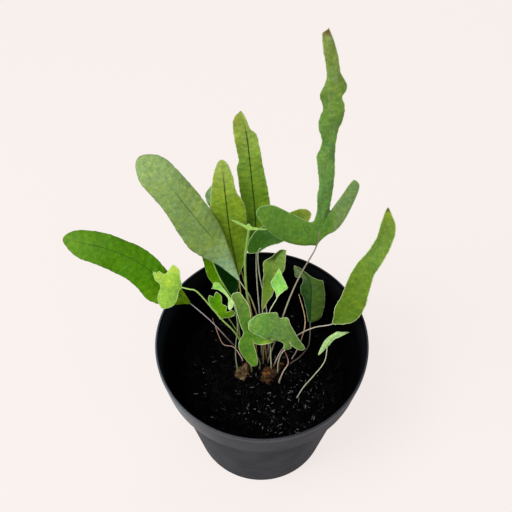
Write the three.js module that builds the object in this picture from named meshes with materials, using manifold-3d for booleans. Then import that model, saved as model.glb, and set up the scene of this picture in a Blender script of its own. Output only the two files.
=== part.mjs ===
// A potted blue star fern: a young plant with wavy and lobed fronds on a creeping rhizome, in a nursery pot.
// Millimetres, +Z up. The origin is the middle of the pot's foot, and -Y is the front.

import * as THREE from 'three';
import { mergeVertices } from 'three/addons/utils/BufferGeometryUtils.js';
import Module from 'manifold-3d';

const wasm = await Module();
wasm.setup();

// Driving dimensions of the pot: a body that tapers to its foot, under a wider skirt at the rim
const POT = {
  height: 114,
  rimRadius: 60,
  skirtHeight: 21.4,
  skirtBottomRadius: 58.1,
  bodyTopRadius: 54.7,
  footRadius: 43.3,
  wall: 1.4,
  floor: 2,
  lipRound: 0.6,
  footRound: 1.2,
  sides: 60,
};
const DRAIN = { count: 8, radius: 4, ringRadius: 30, sides: 12 };

// Driving dimensions of the soil, and of the rhizome's arms: each runs back from its swollen growing tip
const SOIL = { level: 72, rings: 5, sides: 24, lump: 0.8, gap: 0.3 };
const RHIZOME = { knot: 1.05, sides: 8, bands: 5 };
const RHIZOME_ARMS = [
  { radius: 3.4, tip: 1.2, path: [[-12, -2, 72.5], [-8, 4, 70], [-2, 10, 68.5], [3, 17, 66]] },
  { radius: 3.8, tip: 1.3, path: [[4, -3, 72], [1, 3, 69.5], [-2, 10, 68]] },
  { radius: 3, tip: 1.1, path: [[3, 1, 69], [10, 4, 70], [18, 8, 67]] },
];

// Driving dimensions that every stalk and blade shares
const STALK = { sides: 6, stepLength: 7, sunk: 4.5, clearance: 0.35, ribShare: 0.1 };
const BLADE = {
  thickness: 0.7,
  ribDepth: 0.45,
  narrow: 4,
  halfColumns: 2,
  rowLength: 7,
  firstRow: 0.03,
  closestRows: 0.004,
};

// Colours by the age and kind of leaf, and of the dry stalks, the pot, the soil and the rhizome
const COLOURS = {
  mature: 0x4f7f3c,
  bluish: 0x4c7758,
  olive: 0x6f8f3a,
  young: 0x8fc163,
  shaded: 0x2f5a34,
  straw: 0xb59a6a,
  dried: 0x8a5a34,
  pot: 0x3a3a3e,
  soil: 0x1d1815,
  rhizome: 0x8f6a3c,
};
const ROUGHNESS = { leaf: 0.5, pot: 0.45, soil: 0.95, rhizome: 0.85 };

// Every frond: a stalk from the soil up to the blade, the rib that the blade grows along, the way its
// upper face looks, and its margins. A margin entry is the half-width at evenly spaced stations, or
// [station along the rib, distance out from it, distance ahead of the station] where the blade is lobed.
// cup lifts both margins towards the face, and wave is [height, number of waves, phase], both less where
// the blade is narrow.
const FRONDS = [
  {
    name: 'frond_left',
    tone: 'mature',
    radius: 0.65,
    stalk: [[-8, 2, 76], [-12, 8, 82], [-18, 10, 89], [-30, 17, 102], [-42, 23, 112]],
    rib: [[-42, 23, 112], [-55, 26, 128], [-69, 32, 139], [-85, 36, 146], [-99, 38, 149], [-112, 41, 149]],
    face: [0.25, -0.55, 0.8],
    left: [0.8, 8.5, 13.2, 12, 11.1, 10.7, 9.9, 8.4, 5],
    right: [0.5, 3.7, 5.6, 7.4, 8.5, 8.1, 8.3, 7.4, 5.4],
    tip: 0.1,
    cup: -1.5,
    wave: [0.8, 3, 0.5],
  },
  {
    name: 'frond_big',
    tone: 'bluish',
    radius: 0.7,
    stalk: [[3, 9, 74], [1, 14, 89], [-3, 19, 106], [-7, 23, 120], [-13, 26, 132]],
    rib: [[-13, 26, 132], [-25, 34, 155], [-38, 41, 173], [-50, 48, 188], [-65, 56, 199]],
    face: [0, -0.65, 0.75],
    left: [0.5, 4.4, 9.6, 13.3, 12.6, 10.9, 10.6, 9.6, 6],
    right: [0.5, 2.3, 4.4, 7.3, 8.9, 9.2, 8.8, 9, 6],
    tip: 0.09,
    cup: -1.2,
    wave: [0.7, 3.5, 1.8],
  },
  {
    name: 'frond_mid',
    tone: 'olive',
    radius: 0.65,
    stalk: [[-4, 7, 76], [-8, 16, 91], [-12, 26, 108], [-14, 34, 126]],
    rib: [[-14, 34, 126], [-18, 42, 149], [-20, 47, 173], [-22, 54, 201]],
    face: [0.05, -0.7, 0.7],
    left: [0.4, 1.2, 2.4, 4.9, 7.5, 8.6, 7.3, 5.3, 2.2],
    right: [0.8, 5.3, 8, 9.8, 9.9, 9.7, 6, 4.8, 2.6],
    tip: 0.05,
    cup: 0.6,
    wave: [0.5, 4, 0.3],
  },
  {
    name: 'frond_back',
    tone: 'olive',
    radius: 0.65,
    stalk: [[0, 12, 74], [-1, 22, 90], [-3, 34, 110], [-4, 42, 124], [-4, 47, 136]],
    rib: [[-4, 47, 136], [-5, 56, 157], [-7, 61, 180], [-9, 63, 206], [-12, 63, 226]],
    face: [0, -0.7, 0.7],
    left: [
      [0, 0, 0], [0.015, 2.5, 0], [0.034, 5.2, 0], [0.073, 5.5, 0], [0.125, 5, 0], [0.25, 5.6, 0],
      [0.35, 7, 0], [0.5, 7.1, 0], [0.6, 7.1, 0], [0.635, 5.8, 0], [0.7, 6, 0], [0.78, 6.3, 0],
      [0.87, 6.2, 0], [0.945, 5, 0], [0.98, 3.4, 0], [1, 0, 0],
    ],
    right: [
      [0, 0, 0], [0.02, 1.2, 0], [0.125, 5.2, 0], [0.25, 8.4, 0], [0.36, 8.5, 0], [0.48, 7.7, 0],
      [0.58, 6.7, 0], [0.73, 5.9, 0], [0.8, 5.2, 0], [0.83, 4.5, 0], [0.86, 2.4, 0], [0.93, 1.7, 0],
      [0.97, 1, 0], [1, 0, 0],
    ],
    cup: 1,
    wave: [0.6, 4, 2.1],
  },
  {
    name: 'frond_tall',
    tone: 'mature',
    radius: 0.7,
    stalk: [[4, 6, 75], [8, 12, 90], [12, 17, 109], [16, 21, 126], [21, 24, 144], [28, 27, 165]],
    rib: [[28, 27, 165], [30, 35, 181], [30, 41, 205], [30, 46, 229], [30, 51, 254], [26, 56, 279]],
    face: [0, -0.7, 0.7],
    left: [
      [0, 0, 0], [0.01, 7, -2.5], [0.02, 14, -3.5], [0.03, 22, -2], [0.04, 28, 1], [0.05, 33, 5],
      [0.055, 34, 8], [0.06, 31, 10.5], [0.065, 26, 11], [0.075, 19.5, 8.3], [0.08, 12.5, 5.4],
      [0.085, 9, 3.5], [0.09, 6.5, 2.2], [0.1, 4.5, 1.3], [0.125, 3.3, 1.2], [0.17, 2.9, 0],
      [0.25, 3.4, 0], [0.31, 2.8, 0], [0.4, 4.3, 0], [0.45, 4.9, 0], [0.475, 3.8, 0], [0.515, 3, 0],
      [0.555, 4, 0], [0.585, 5.4, 0], [0.62, 5.1, 0], [0.665, 4, 0], [0.72, 5.9, 0], [0.75, 5.6, 0],
      [0.775, 4, 0], [0.8, 2.9, 0], [0.84, 2.9, 0], [0.925, 3.5, 0], [0.98, 2.8, 0], [1, 0, 0],
    ],
    right: [
      [0, 0, 0], [0.02, 2, 1.8], [0.04, 5, 3], [0.045, 8.5, 5.2], [0.05, 11, 9.3], [0.055, 14, 19],
      [0.06, 15.5, 27.7], [0.065, 14, 30.2], [0.07, 11.5, 29.7], [0.075, 8.5, 22.1], [0.08, 6.5, 16.9],
      [0.085, 5, 12.8], [0.09, 4, 9.9], [0.1, 3.4, 8.6], [0.125, 3.2, 7.2], [0.16, 3.3, 3.5],
      [0.2, 3.6, 0.8], [0.23, 4, 0], [0.28, 4.4, 0], [0.35, 4.4, 0], [0.4, 4.2, 0], [0.51, 3.5, 0],
      [0.57, 4.2, 0], [0.615, 5.8, 0], [0.69, 5.6, 0], [0.72, 4.2, 0], [0.745, 6, 0], [0.765, 5.8, 0],
      [0.82, 3.2, 0], [0.89, 2.6, 0], [0.94, 1.7, 0], [0.965, 1, 0], [1, 0, 0],
    ],
    cup: -0.8,
    wave: [1, 6, 0],
  },
  {
    name: 'frond_right',
    tone: 'olive',
    radius: 0.65,
    stalk: [[8, 4, 75], [13, 9, 86], [21, 10, 100], [30, 9, 111], [40, 8, 117]],
    rib: [[40, 8, 117], [47, 12, 128], [55, 21, 152], [63, 29, 173], [63, 36, 187]],
    face: [-0.2, -0.65, 0.75],
    left: [0.9, 5.6, 5.9, 6.4, 6.1, 4.2, 3.6, 3.6, 1],
    right: [0.9, 7.5, 8.4, 6.8, 5.3, 5.6, 5.2, 4.2, 1],
    tip: 0.05,
    cup: 1,
    wave: [0.6, 3, 1],
  },
  {
    name: 'frond_inner_right',
    tone: 'bluish',
    radius: 0.65,
    stalk: [[4, 13, 74], [4, 19, 84], [2, 28, 104], [-2, 35, 126], [-3, 38, 143]],
    rib: [[-3, 38, 143], [2, 42, 149], [10, 46, 154], [18, 50, 158], [26, 53, 161]],
    face: [0, -0.7, 0.7],
    left: [
      [0, 0, 0], [0.01, 1.8, -2.1], [0.02, 3.8, -3.9], [0.035, 5.8, -3.5], [0.06, 7.2, -1.8],
      [0.1, 8, -0.6], [0.16, 8.4, 0], [0.23, 8.4, 0], [0.375, 7.4, 0], [0.5, 6.7, 0], [0.625, 6, 0],
      [0.75, 5.5, 0], [0.875, 4.6, 0], [0.94, 3.4, 0], [0.97, 2.4, 0], [0.99, 1.2, 0], [1, 0, 0],
    ],
    right: [0.4, 1.9, 3.9, 5.6, 6.1, 5.9, 5.3, 4.4, 3],
    tip: 0.12,
    cup: 0.8,
    wave: [0.5, 2, 0],
  },
  {
    name: 'frond_shaded',
    tone: 'shaded',
    radius: 0.65,
    stalk: [[-9, 6, 75], [-13, 15, 84], [-15, 24, 95], [-18, 32, 104]],
    rib: [[-18, 32, 104], [-26, 38, 119], [-32, 45, 137], [-38, 53, 151]],
    face: [0, -0.6, 0.8],
    left: [1, 2.9, 4.6, 5.8, 5.3, 4.6, 4.4, 3.4, 1],
    right: [1.7, 7.8, 9.2, 9.3, 7.9, 6.8, 5.8, 4.9, 1.5],
    tip: 0.06,
    cup: 1.6,
    wave: [0.5, 2, 1],
  },
  {
    name: 'frond_hidden',
    tone: 'bluish',
    radius: 0.65,
    stalk: [[-3, 13, 73], [-6, 26, 91], [-10, 37, 108], [-14, 44, 122], [-17, 47, 127]],
    rib: [[-17, 47, 127], [-21, 53, 143], [-25, 58, 158], [-27.5, 62, 174]],
    face: [0, -0.7, 0.7],
    left: [
      [0, 0, 0], [0.1, 2.6, 0], [0.3, 4.6, 0], [0.5, 4.9, 0], [0.73, 5.3, 0], [0.81, 6.1, 0],
      [0.89, 5.8, 0], [0.957, 2.9, 0], [1, 0, 0],
    ],
    right: [0.6, 2.6, 3.8, 4.6, 4.8, 4.6, 4, 3.2, 2],
    tip: 0.08,
    cup: 1,
    wave: [0.4, 2, 0],
  },
  {
    name: 'frond_twisted',
    tone: 'mature',
    radius: 0.6,
    stalk: [[1, 5, 76], [1, 8, 89], [1, 14, 101], [0, 22, 108]],
    rib: [[0, 22, 108], [3, 28, 117], [6, 34, 130], [9, 37, 139], [13, 38, 146]],
    face: [-0.15, -0.7, 0.7],
    left: [
      [0, 0, 0], [0.03, 0.9, 0], [0.125, 2, 0], [0.25, 3.2, 0], [0.4, 4.2, 0], [0.52, 4.8, 0],
      [0.6, 5.9, 0], [0.67, 7.1, 0], [0.72, 6.6, 0], [0.78, 4.5, 0], [0.875, 3.4, 0], [0.945, 2.8, 0],
      [0.98, 1.8, 0], [1, 0, 0],
    ],
    right: [
      [0, 0, 0], [0.03, 0.8, 0], [0.125, 1.4, 0], [0.25, 2.9, 0], [0.375, 3.5, 0], [0.5, 4.2, 0],
      [0.625, 5.2, 0], [0.73, 5.4, 0], [0.855, 4.3, 0], [0.94, 1.9, 0], [0.98, 0.4, 0], [1, 0, 0],
    ],
    cup: 1.4,
    wave: [0.5, 2, 2],
  },
  {
    name: 'frond_bright',
    tone: 'young',
    radius: 0.55,
    stalk: [[6, 1, 75], [5, 8, 91], [4, 16, 112], [6, 18, 120], [8, 19, 125]],
    rib: [[8, 19, 125], [9, 25, 131], [9, 31, 138]],
    face: [0, -0.6, 0.8],
    left: [
      [0, 0, 0], [0.1, 0.6, 0], [0.23, 1.6, 0], [0.44, 4.2, 0], [0.58, 4.3, 0], [0.81, 2, 0],
      [0.93, 0.9, 0], [1, 0, 0],
    ],
    right: [
      [0, 0, 0], [0.05, 0.4, 0], [0.16, 1.5, 0], [0.285, 3.4, 0], [0.395, 5.4, 0], [0.53, 4, 0],
      [0.68, 2.6, 0], [0.78, 1.7, 0], [0.92, 1, 0], [1, 0, 0],
    ],
    cup: 0.6,
    wave: [0.2, 2, 0],
  },
  {
    name: 'frond_hooded',
    tone: 'bluish',
    radius: 0.6,
    stalk: [[18, 5, 74], [23, 7, 78], [28, 11, 84], [29, 16, 89], [29, 22, 94]],
    rib: [[29, 22, 94], [29, 29, 103], [29, 36, 111], [26, 41, 116], [18.5, 46, 120]],
    face: [0, -0.6, 0.8],
    left: [
      [0, 0, 0], [0.025, 1.3, 0], [0.13, 2.1, 0], [0.26, 3.2, 0], [0.38, 4.7, 0], [0.49, 6.6, 0],
      [0.62, 5.9, 0], [0.735, 3.4, 0], [0.78, 2.5, 0], [0.85, 4.7, 0], [0.885, 4.8, 0], [0.93, 3, 0],
      [0.97, 1.8, 0], [1, 0, 0],
    ],
    right: [
      [0, 0, 0], [0.02, 2.4, 0], [0.035, 4.8, 0], [0.1, 6.8, 0], [0.22, 8, 0], [0.38, 8.3, 0],
      [0.5, 8, 0], [0.56, 7.6, 0], [0.61, 7.6, 0], [0.63, 5.4, 0], [0.67, 3.2, 0], [0.74, 1.6, 0],
      [0.83, 1, 0], [0.92, 0.9, 0], [1, 0, 0],
    ],
    cup: -1.2,
    wave: [0.3, 2, 0],
  },
  {
    name: 'frond_centre',
    tone: 'mature',
    radius: 0.6,
    stalk: [[10, -1, 76], [10, 0, 84], [12, 1, 95], [17, 1, 104]],
    rib: [[17, 1, 104], [12, 4, 109], [6, 7, 113], [-2, 8, 115], [-8, 7, 114]],
    face: [0, -0.6, 0.8],
    left: [
      [0, 0, 0], [0.03, 1.4, -2.3], [0.05, 3.7, -2.3], [0.08, 4.8, -2.2], [0.12, 3.6, -1],
      [0.16, 2.7, -0.5], [0.3, 5, 0.5], [0.5, 7.5, 0], [0.65, 7, 1.5], [0.8, 5.5, 2], [0.92, 3, 2],
      [0.97, 1.2, 1.2], [1, 0, 0],
    ],
    right: [
      [0, 0, 0], [0.03, 1, -5.6], [0.045, 3.5, -8.8], [0.06, 5, -8.4], [0.08, 5.5, -2.9], [0.1, 6.5, 2.4],
      [0.13, 7.5, 5.7], [0.18, 9, 7.5], [0.23, 8.5, 7.5], [0.28, 6.8, 7], [0.33, 6.2, 7], [0.38, 7.8, 8],
      [0.46, 6.5, 7.5], [0.56, 6.5, 6], [0.7, 5, 4.5], [0.82, 3.2, 3], [0.92, 2.4, 1.4], [1, 0, 0],
    ],
    cup: -0.9,
    wave: [0.5, 2, 0.5],
  },
  {
    name: 'frond_pale',
    tone: 'young',
    radius: 0.75,
    stalk: [
      [-6, 0, 76], [-9, 5, 88], [-16, 10, 102], [-24, 13, 113],
      [-36, 19, 130], [-41, 20, 132], [-45, 21, 132],
    ],
    rib: [[-45, 21, 132], [-50, 21, 134], [-56, 24, 136], [-62, 29, 136]],
    face: [0.1, -0.6, 0.8],
    left: [
      [0, 0, 0], [0.085, 2.4, 0], [0.11, 6.4, -0.4], [0.15, 10.5, 0], [0.2, 13.6, 2.4],
      [0.23, 13.7, 3.2], [0.27, 11.5, 3.8], [0.31, 8.8, 3.9], [0.38, 4.8, 2.9], [0.52, 3.2, 1.6],
      [0.66, 3, 1.5], [0.8, 2, 1], [0.92, 1, 0.5], [1, 0, 0],
    ],
    right: [
      [0, 0, 0], [0.05, 3.5, 0.5], [0.1, 6, 0.5], [0.15, 9, 0.5], [0.2, 10.5, 2], [0.24, 11, 4.5],
      [0.28, 8.5, 5.5], [0.34, 6, 5], [0.42, 3.5, 4], [0.5, 2.5, 4.5], [0.57, 2.5, 5], [0.65, 1.5, 4],
      [0.77, 0.8, 2], [0.9, 0.5, 0.5], [1, 0, 0],
    ],
    cup: 0.5,
    wave: [0.3, 2, 0],
  },
  {
    name: 'frond_trefoil',
    tone: 'mature',
    radius: 0.55,
    stalk: [[-1, 1, 77], [-1, 1, 82], [-3, 2, 90], [-5, 4, 101]],
    rib: [[-5, 4, 101], [-7, 7, 106], [-11, 14, 115], [-15, 23, 125]],
    face: [0, -0.6, 0.8],
    left: [
      [0, 0, 0], [0.03, 0.6, -8.5], [0.05, 2, -16], [0.065, 4.8, -17.2], [0.08, 6.4, -15.2],
      [0.095, 7.4, -12.7], [0.115, 8.6, -8.7], [0.14, 9, -5.5], [0.165, 8.4, -3.1], [0.19, 7, -1.3],
      [0.22, 4.6, -0.5], [0.27, 3.2, -0.3], [0.4, 3.4, 0], [0.52, 3.2, 0.2], [0.67, 2.9, 0],
      [0.82, 3, 0.5], [0.92, 3.7, 0.6], [0.97, 2.2, 0.9], [1, 0, 0],
    ],
    right: [
      [0, 0, 0], [0.01, 1, -1.5], [0.03, 3.5, -3.4], [0.05, 6, -4.6], [0.075, 9.5, -6],
      [0.1, 11.8, -6.4], [0.125, 11.5, -4.8], [0.155, 8.5, -3.4], [0.19, 5.5, -2.1], [0.24, 3.8, -0.8],
      [0.32, 3.5, 0.3], [0.45, 3.9, 0.5], [0.6, 4.7, 0.6], [0.72, 4.8, 0.7], [0.8, 4.1, 0.5],
      [0.93, 2.4, 0.7], [0.975, 1.4, 0.6], [1, 0, 0],
    ],
    cup: 0.8,
    wave: [0.3, 2, 0],
  },
  {
    name: 'frond_clover',
    tone: 'young',
    radius: 0.55,
    stalk: [[-6, 4, 76], [-11, 9, 88], [-15, 14, 97], [-20, 18, 105]],
    rib: [[-20, 18, 105], [-25, 21, 110], [-29, 24, 114], [-31, 26, 117]],
    face: [0, -0.6, 0.8],
    left: [
      [0, 0, 0], [0.06, 2.6, 1.1], [0.12, 4, 0.8], [0.22, 3.2, 1.4], [0.4, 2.7, 0.9], [0.6, 2.9, 0.7],
      [0.78, 2.4, 0.6], [0.9, 1.6, 0.4], [1, 0, 0],
    ],
    right: [
      [0, 0, 0], [0.015, 3.6, -1.4], [0.035, 5.2, 0], [0.055, 4.6, 1.4], [0.08, 2.6, 1.6],
      [0.12, 1.7, 1.4], [0.2, 3.6, 1.8], [0.27, 4.2, 1.7], [0.34, 3.2, 2.8], [0.42, 4.6, 3.6],
      [0.5, 5.9, 4.1], [0.57, 5.7, 5.1], [0.63, 5, 5.5], [0.69, 3.4, 4.1], [0.73, 1.9, 2.1],
      [0.85, 1.5, 0.9], [0.93, 0.9, 0.3], [1, 0, 0],
    ],
    cup: 1,
    wave: [0.2, 2, 0],
  },
  {
    name: 'frond_curled',
    tone: 'young',
    radius: 0.5,
    stalk: [
      [-14.5, -1, 76], [-15.5, 3, 83], [-15.5, 8, 91], [-14.5, 13, 100], [-15, 17, 109], [-16.5, 20, 116],
    ],
    rib: [
      [-16.5, 20, 116], [-18.7, 23, 117], [-21.5, 26, 119.5], [-24.5, 28, 121], [-27.5, 29, 122.5],
      [-28.7, 29, 122.8],
    ],
    face: [0, -0.6, 0.8],
    left: [
      [0, 0, 0], [0.03, 2, -1.6], [0.06, 3.5, -2.5], [0.1, 3.7, -1.4], [0.16, 2.5, -0.6], [0.26, 0.8, 0.1],
      [0.45, 0.8, 0], [0.63, 1.1, -0.1], [0.78, 1.4, 0], [0.88, 2.1, 0.6], [0.94, 2.5, 1.3], [0.97, 1.6, 1],
      [1, 0, 0],
    ],
    right: [
      [0, 0, 0], [0.06, 0.8, 0.1], [0.26, 0.7, 0], [0.5, 0.8, 0], [0.68, 1.3, 0.2], [0.76, 1.9, 0.4],
      [0.84, 2.5, 0.2], [0.94, 1.9, 0.6], [0.97, 1.2, 0.3], [1, 0, 0],
    ],
    cup: 0.8,
    wave: [0.2, 2, 0],
  },
  {
    name: 'frond_unfurling',
    tone: 'olive',
    radius: 0.6,
    stalk: [[-5, 11, 73], [-6, 16, 99], [-9, 22, 127], [-10, 29, 147], [-9, 33, 157], [-8, 36, 165]],
    rib: [[-8, 36, 165], [-8, 37.5, 166.5], [-8, 39, 168]],
    face: [0, -0.65, 0.75],
    left: [
      [0, 0, 0], [0.2, 1.5, 0.75], [0.28, 5, 2.4], [0.34, 8.6, 3.9], [0.4, 9.2, 4.5], [0.48, 5, 2.9],
      [0.58, 1.5, 0.8], [0.8, 0.9, 0.3], [1, 0, 0],
    ],
    right: [
      [0, 0, 0], [0.2, 1.5, 0], [0.28, 5, -0.3], [0.34, 9, -0.5], [0.4, 9.7, -0.3], [0.48, 5, 0],
      [0.58, 1.5, 0.1], [0.8, 0.9, 0.2], [1, 0, 0],
    ],
    cup: 0.3,
    wave: [0.1, 1, 0],
  },
  {
    name: 'frond_edge',
    tone: 'young',
    radius: 0.55,
    stalk: [[21, -18, 72], [25, -13, 78], [31, -8, 84], [37, -2, 90], [39, 7, 92]],
    rib: [[39, 7, 92], [42, 10, 95], [46, 14, 98]],
    face: [0.3, -0.75, 0.6],
    left: [
      [0, 0, 0], [0.06, 0.6, -5], [0.1, 1.6, -8.7], [0.2, 3.2, -5.5], [0.35, 4.2, -1.6], [0.55, 3.6, -0.6],
      [0.75, 2.4, -0.3], [0.9, 1.2, 0.4], [1, 0, 0],
    ],
    right: [
      [0, 0, 0], [0.15, 0.4, -0.6], [0.3, 0.4, 0.3], [0.5, 1, 1], [0.65, 2.3, 1.2],
      [0.75, 4, 4], [0.8, 5.5, 6], [0.88, 3, 3.5], [0.95, 1, 1], [1, 0, 0],
    ],
    cup: 0.4,
    wave: [0.2, 1, 0],
  },
];

// Bare stalks whose blades have dropped, and one dried scrap
const STRAWS = [
  {
    name: 'straw_right',
    tone: 'straw',
    radius: 0.6,
    stalk: [[19, 9, 73], [22, 12, 80], [25, 15, 97], [25, 20, 105], [21, 27, 118]],
  },
  {
    name: 'straw_left',
    tone: 'straw',
    radius: 0.6,
    stalk: [[-12, 7, 75], [-17, 12, 80], [-23, 12, 83], [-26, 15, 88], [-30, 23, 96]],
  },
  {
    name: 'straw_dried',
    tone: 'dried',
    radius: 0.9,
    stalk: [[11, -7, 74], [13, -4, 80], [16, 0, 85], [13, 5, 92]],
  },
];

// Solids and meshes: manifold-3d joins and cuts, and three.js makes every shape
function toSolid(geometry) {
  const bare = geometry.clone();
  bare.deleteAttribute('normal');
  bare.deleteAttribute('uv');
  const merged = mergeVertices(bare, 1e-4);
  const corners = merged.index.array;
  const triangles = [];
  for (let i = 0; i < corners.length; i += 3) {
    const [a, b, c] = [corners[i], corners[i + 1], corners[i + 2]];
    if (a !== b && b !== c && c !== a) triangles.push(a, b, c);
  }
  return new wasm.Manifold(new wasm.Mesh({
    numProp: 3,
    vertProperties: new Float32Array(merged.attributes.position.array),
    triVerts: new Uint32Array(triangles),
  }));
}

function toMesh(name, solid, tone, roughness = ROUGHNESS.leaf) {
  const { vertProperties, triVerts } = solid.getMesh();
  const geometry = new THREE.BufferGeometry();
  geometry.setAttribute('position', new THREE.BufferAttribute(new Float32Array(vertProperties), 3));
  geometry.setIndex(new THREE.BufferAttribute(new Uint32Array(triVerts), 1));
  geometry.computeVertexNormals();
  const material = new THREE.MeshStandardMaterial({ color: COLOURS[tone], roughness, metalness: 0 });
  const mesh = new THREE.Mesh(geometry, material);
  mesh.name = name;
  return mesh;
}

const toPoints = (list) => list.map((point) => new THREE.Vector3(...point));
const toCurve = (list) => new THREE.CatmullRomCurve3(toPoints(list), false, 'catmullrom', 0.5);

function lathe(profile) {
  const outline = profile.map(([radius, z]) => new THREE.Vector2(radius, z));
  const turned = new THREE.LatheGeometry(outline, POT.sides);
  turned.rotateX(Math.PI / 2);
  return toSolid(turned);
}

function tube(curve, radius, sides, steps) {
  const section = new THREE.Shape();
  for (let i = 0; i < sides; i += 1) {
    const angle = (2 * Math.PI * i) / sides;
    const corner = [radius * Math.cos(angle), radius * Math.sin(angle)];
    if (i === 0) section.moveTo(...corner);
    else section.lineTo(...corner);
  }
  section.closePath();
  return toSolid(new THREE.ExtrudeGeometry(section, { steps, extrudePath: curve, bevelEnabled: false }));
}

// The pot, with its drain holes
function innerRadiusAt(z) {
  const rise = (z - POT.floor) / (POT.height - POT.skirtHeight - POT.floor);
  return THREE.MathUtils.lerp(POT.footRadius, POT.bodyTopRadius, rise) - POT.wall;
}

function potSolid() {
  const { height, rimRadius, skirtHeight, skirtBottomRadius, bodyTopRadius, footRadius } = POT;
  const { wall, floor, lipRound, footRound } = POT;
  const skirtBottom = height - skirtHeight;
  const ledge = skirtBottom + wall;
  const body = lathe([
    [0, 0],
    [footRadius - footRound, 0],
    [footRadius, footRound],
    [bodyTopRadius, skirtBottom],
    [skirtBottomRadius - lipRound, skirtBottom],
    [skirtBottomRadius, skirtBottom + lipRound],
    [rimRadius, height - lipRound],
    [rimRadius - lipRound / 2, height],
    [rimRadius - wall + lipRound / 2, height],
    [rimRadius - wall, height - lipRound],
    [skirtBottomRadius - wall, ledge + lipRound],
    [skirtBottomRadius - wall - lipRound, ledge],
    [bodyTopRadius - wall, ledge],
    [footRadius - wall, floor],
    [0, floor],
  ]);
  return Array.from({ length: DRAIN.count }, (_, i) => drainHole((2 * Math.PI * i) / DRAIN.count))
    .reduce((pot, hole) => pot.subtract(hole), body);
}

function drainHole(angle) {
  const drill = new THREE.CylinderGeometry(DRAIN.radius, DRAIN.radius, 4 * POT.floor, DRAIN.sides);
  drill.rotateX(Math.PI / 2);
  drill.translate(DRAIN.ringRadius * Math.cos(angle), DRAIN.ringRadius * Math.sin(angle), POT.floor / 2);
  return toSolid(drill);
}

// The soil: a plug that fills the pot, with a lumpy top
function soilHeight(x, y) {
  const lumps = Math.sin(0.31 * x + 1.3) * Math.cos(0.27 * y) + 0.6 * Math.sin(0.53 * y - 0.4 * x);
  return SOIL.level + SOIL.lump * lumps;
}

function soilSolid() {
  const { level: top, rings, sides, gap } = SOIL;
  const bottom = POT.floor + gap;
  const radiusAt = (z) => innerRadiusAt(z) * Math.cos(Math.PI / POT.sides) - gap;
  const profile = [new THREE.Vector2(0, bottom), new THREE.Vector2(radiusAt(bottom), bottom)];
  for (let ring = 0; ring <= rings; ring += 1) {
    profile.push(new THREE.Vector2(radiusAt(top) * (1 - ring / rings), top));
  }
  const turned = new THREE.LatheGeometry(profile, sides);
  turned.rotateX(Math.PI / 2);
  const places = turned.attributes.position;
  for (let i = 0; i < places.count; i += 1) {
    if (places.getZ(i) > bottom + gap) places.setZ(i, soilHeight(places.getX(i), places.getY(i)));
  }
  return toSolid(turned);
}

// The rhizome: knobbly arms that creep half sunk in the soil
function rhizomeSolid(room = 0) {
  const pieces = RHIZOME_ARMS.flatMap(({ radius, tip, path }) => {
    const knobs = path.map(([x, y, z], i) => {
      const knobRadius = radius * (i === 0 ? tip : RHIZOME.knot) + room;
      const knob = new THREE.SphereGeometry(knobRadius, RHIZOME.sides, RHIZOME.bands);
      knob.rotateX(Math.PI / 2);
      knob.translate(x, y, z);
      return toSolid(knob);
    });
    return [tube(toCurve(path), radius + room, RHIZOME.sides, path.length + 1), ...knobs];
  });
  return pieces.reduce((whole, piece) => whole.add(piece));
}

// A stalk: straight down into its hole at the root, and on along the rib where there is a blade
function stalkSolid({ radius, stalk, rib }, room = 0) {
  const [x, y, z] = stalk[0];
  const path = [[x, y, z - STALK.sunk - room], ...stalk];
  if (rib) path.push(toCurve(rib).getPointAt(STALK.ribShare).toArray());
  const steps = Math.round(toCurve(stalk).getLength() / STALK.stepLength) + 2;
  return tube(toCurve(path), radius + room, STALK.sides, steps);
}

// A margin, read at a station along the rib
function readMargin(entries, tip = 0) {
  const last = entries.length - 1;
  const points = entries.map((entry, i) => (Array.isArray(entry) ? entry : [i / last, entry, 0]));
  const simple = !Array.isArray(entries[0]);
  const value = (i, axis) => points[Math.min(Math.max(i, 0), last)][axis];
  const blend = (i, f, axis) => {
    const [p, q, r, s] = [value(i - 1, axis), value(i, axis), value(i + 1, axis), value(i + 2, axis)];
    return q + 0.5 * f * (r - p + f * (2 * p - 5 * q + 4 * r - s + f * (3 * (q - r) + s - p)));
  };
  return (station) => {
    let i = 0;
    while (i < last - 1 && points[i + 1][0] <= station) i += 1;
    const f = (station - points[i][0]) / (points[i + 1][0] - points[i][0]);
    const fromTip = simple && station > 1 - tip ? (station - 1 + tip) / tip : 0;
    const rounding = Math.sqrt(Math.max(0, 1 - fromTip ** 2));
    return { out: Math.max(0, blend(i, f, 1)) * rounding, ahead: blend(i, f, 2) };
  };
}

function rowStations({ left, right, tip = 0 }, length) {
  const roundEnd = [0, BLADE.firstRow, 1 - tip, 1 - tip / 2, 1 - tip / 7, 1];
  const marks = [left, right].flatMap((entries) => (
    Array.isArray(entries[0]) ? entries.map(([station]) => station) : roundEnd
  ));
  const sorted = [...new Set(marks)].sort((a, b) => a - b);
  const last = sorted.length - 1;
  const kept = sorted.filter((mark, i) => (
    i === 0 || i === last || mark - sorted[i - 1] > BLADE.closestRows
  ));
  return kept.flatMap((mark, i) => {
    if (i === kept.length - 1) return [mark];
    const span = kept[i + 1] - mark;
    const parts = Math.max(1, Math.round((span * length) / BLADE.rowLength));
    return Array.from({ length: parts }, (_, part) => mark + (span * part) / parts);
  });
}

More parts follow.
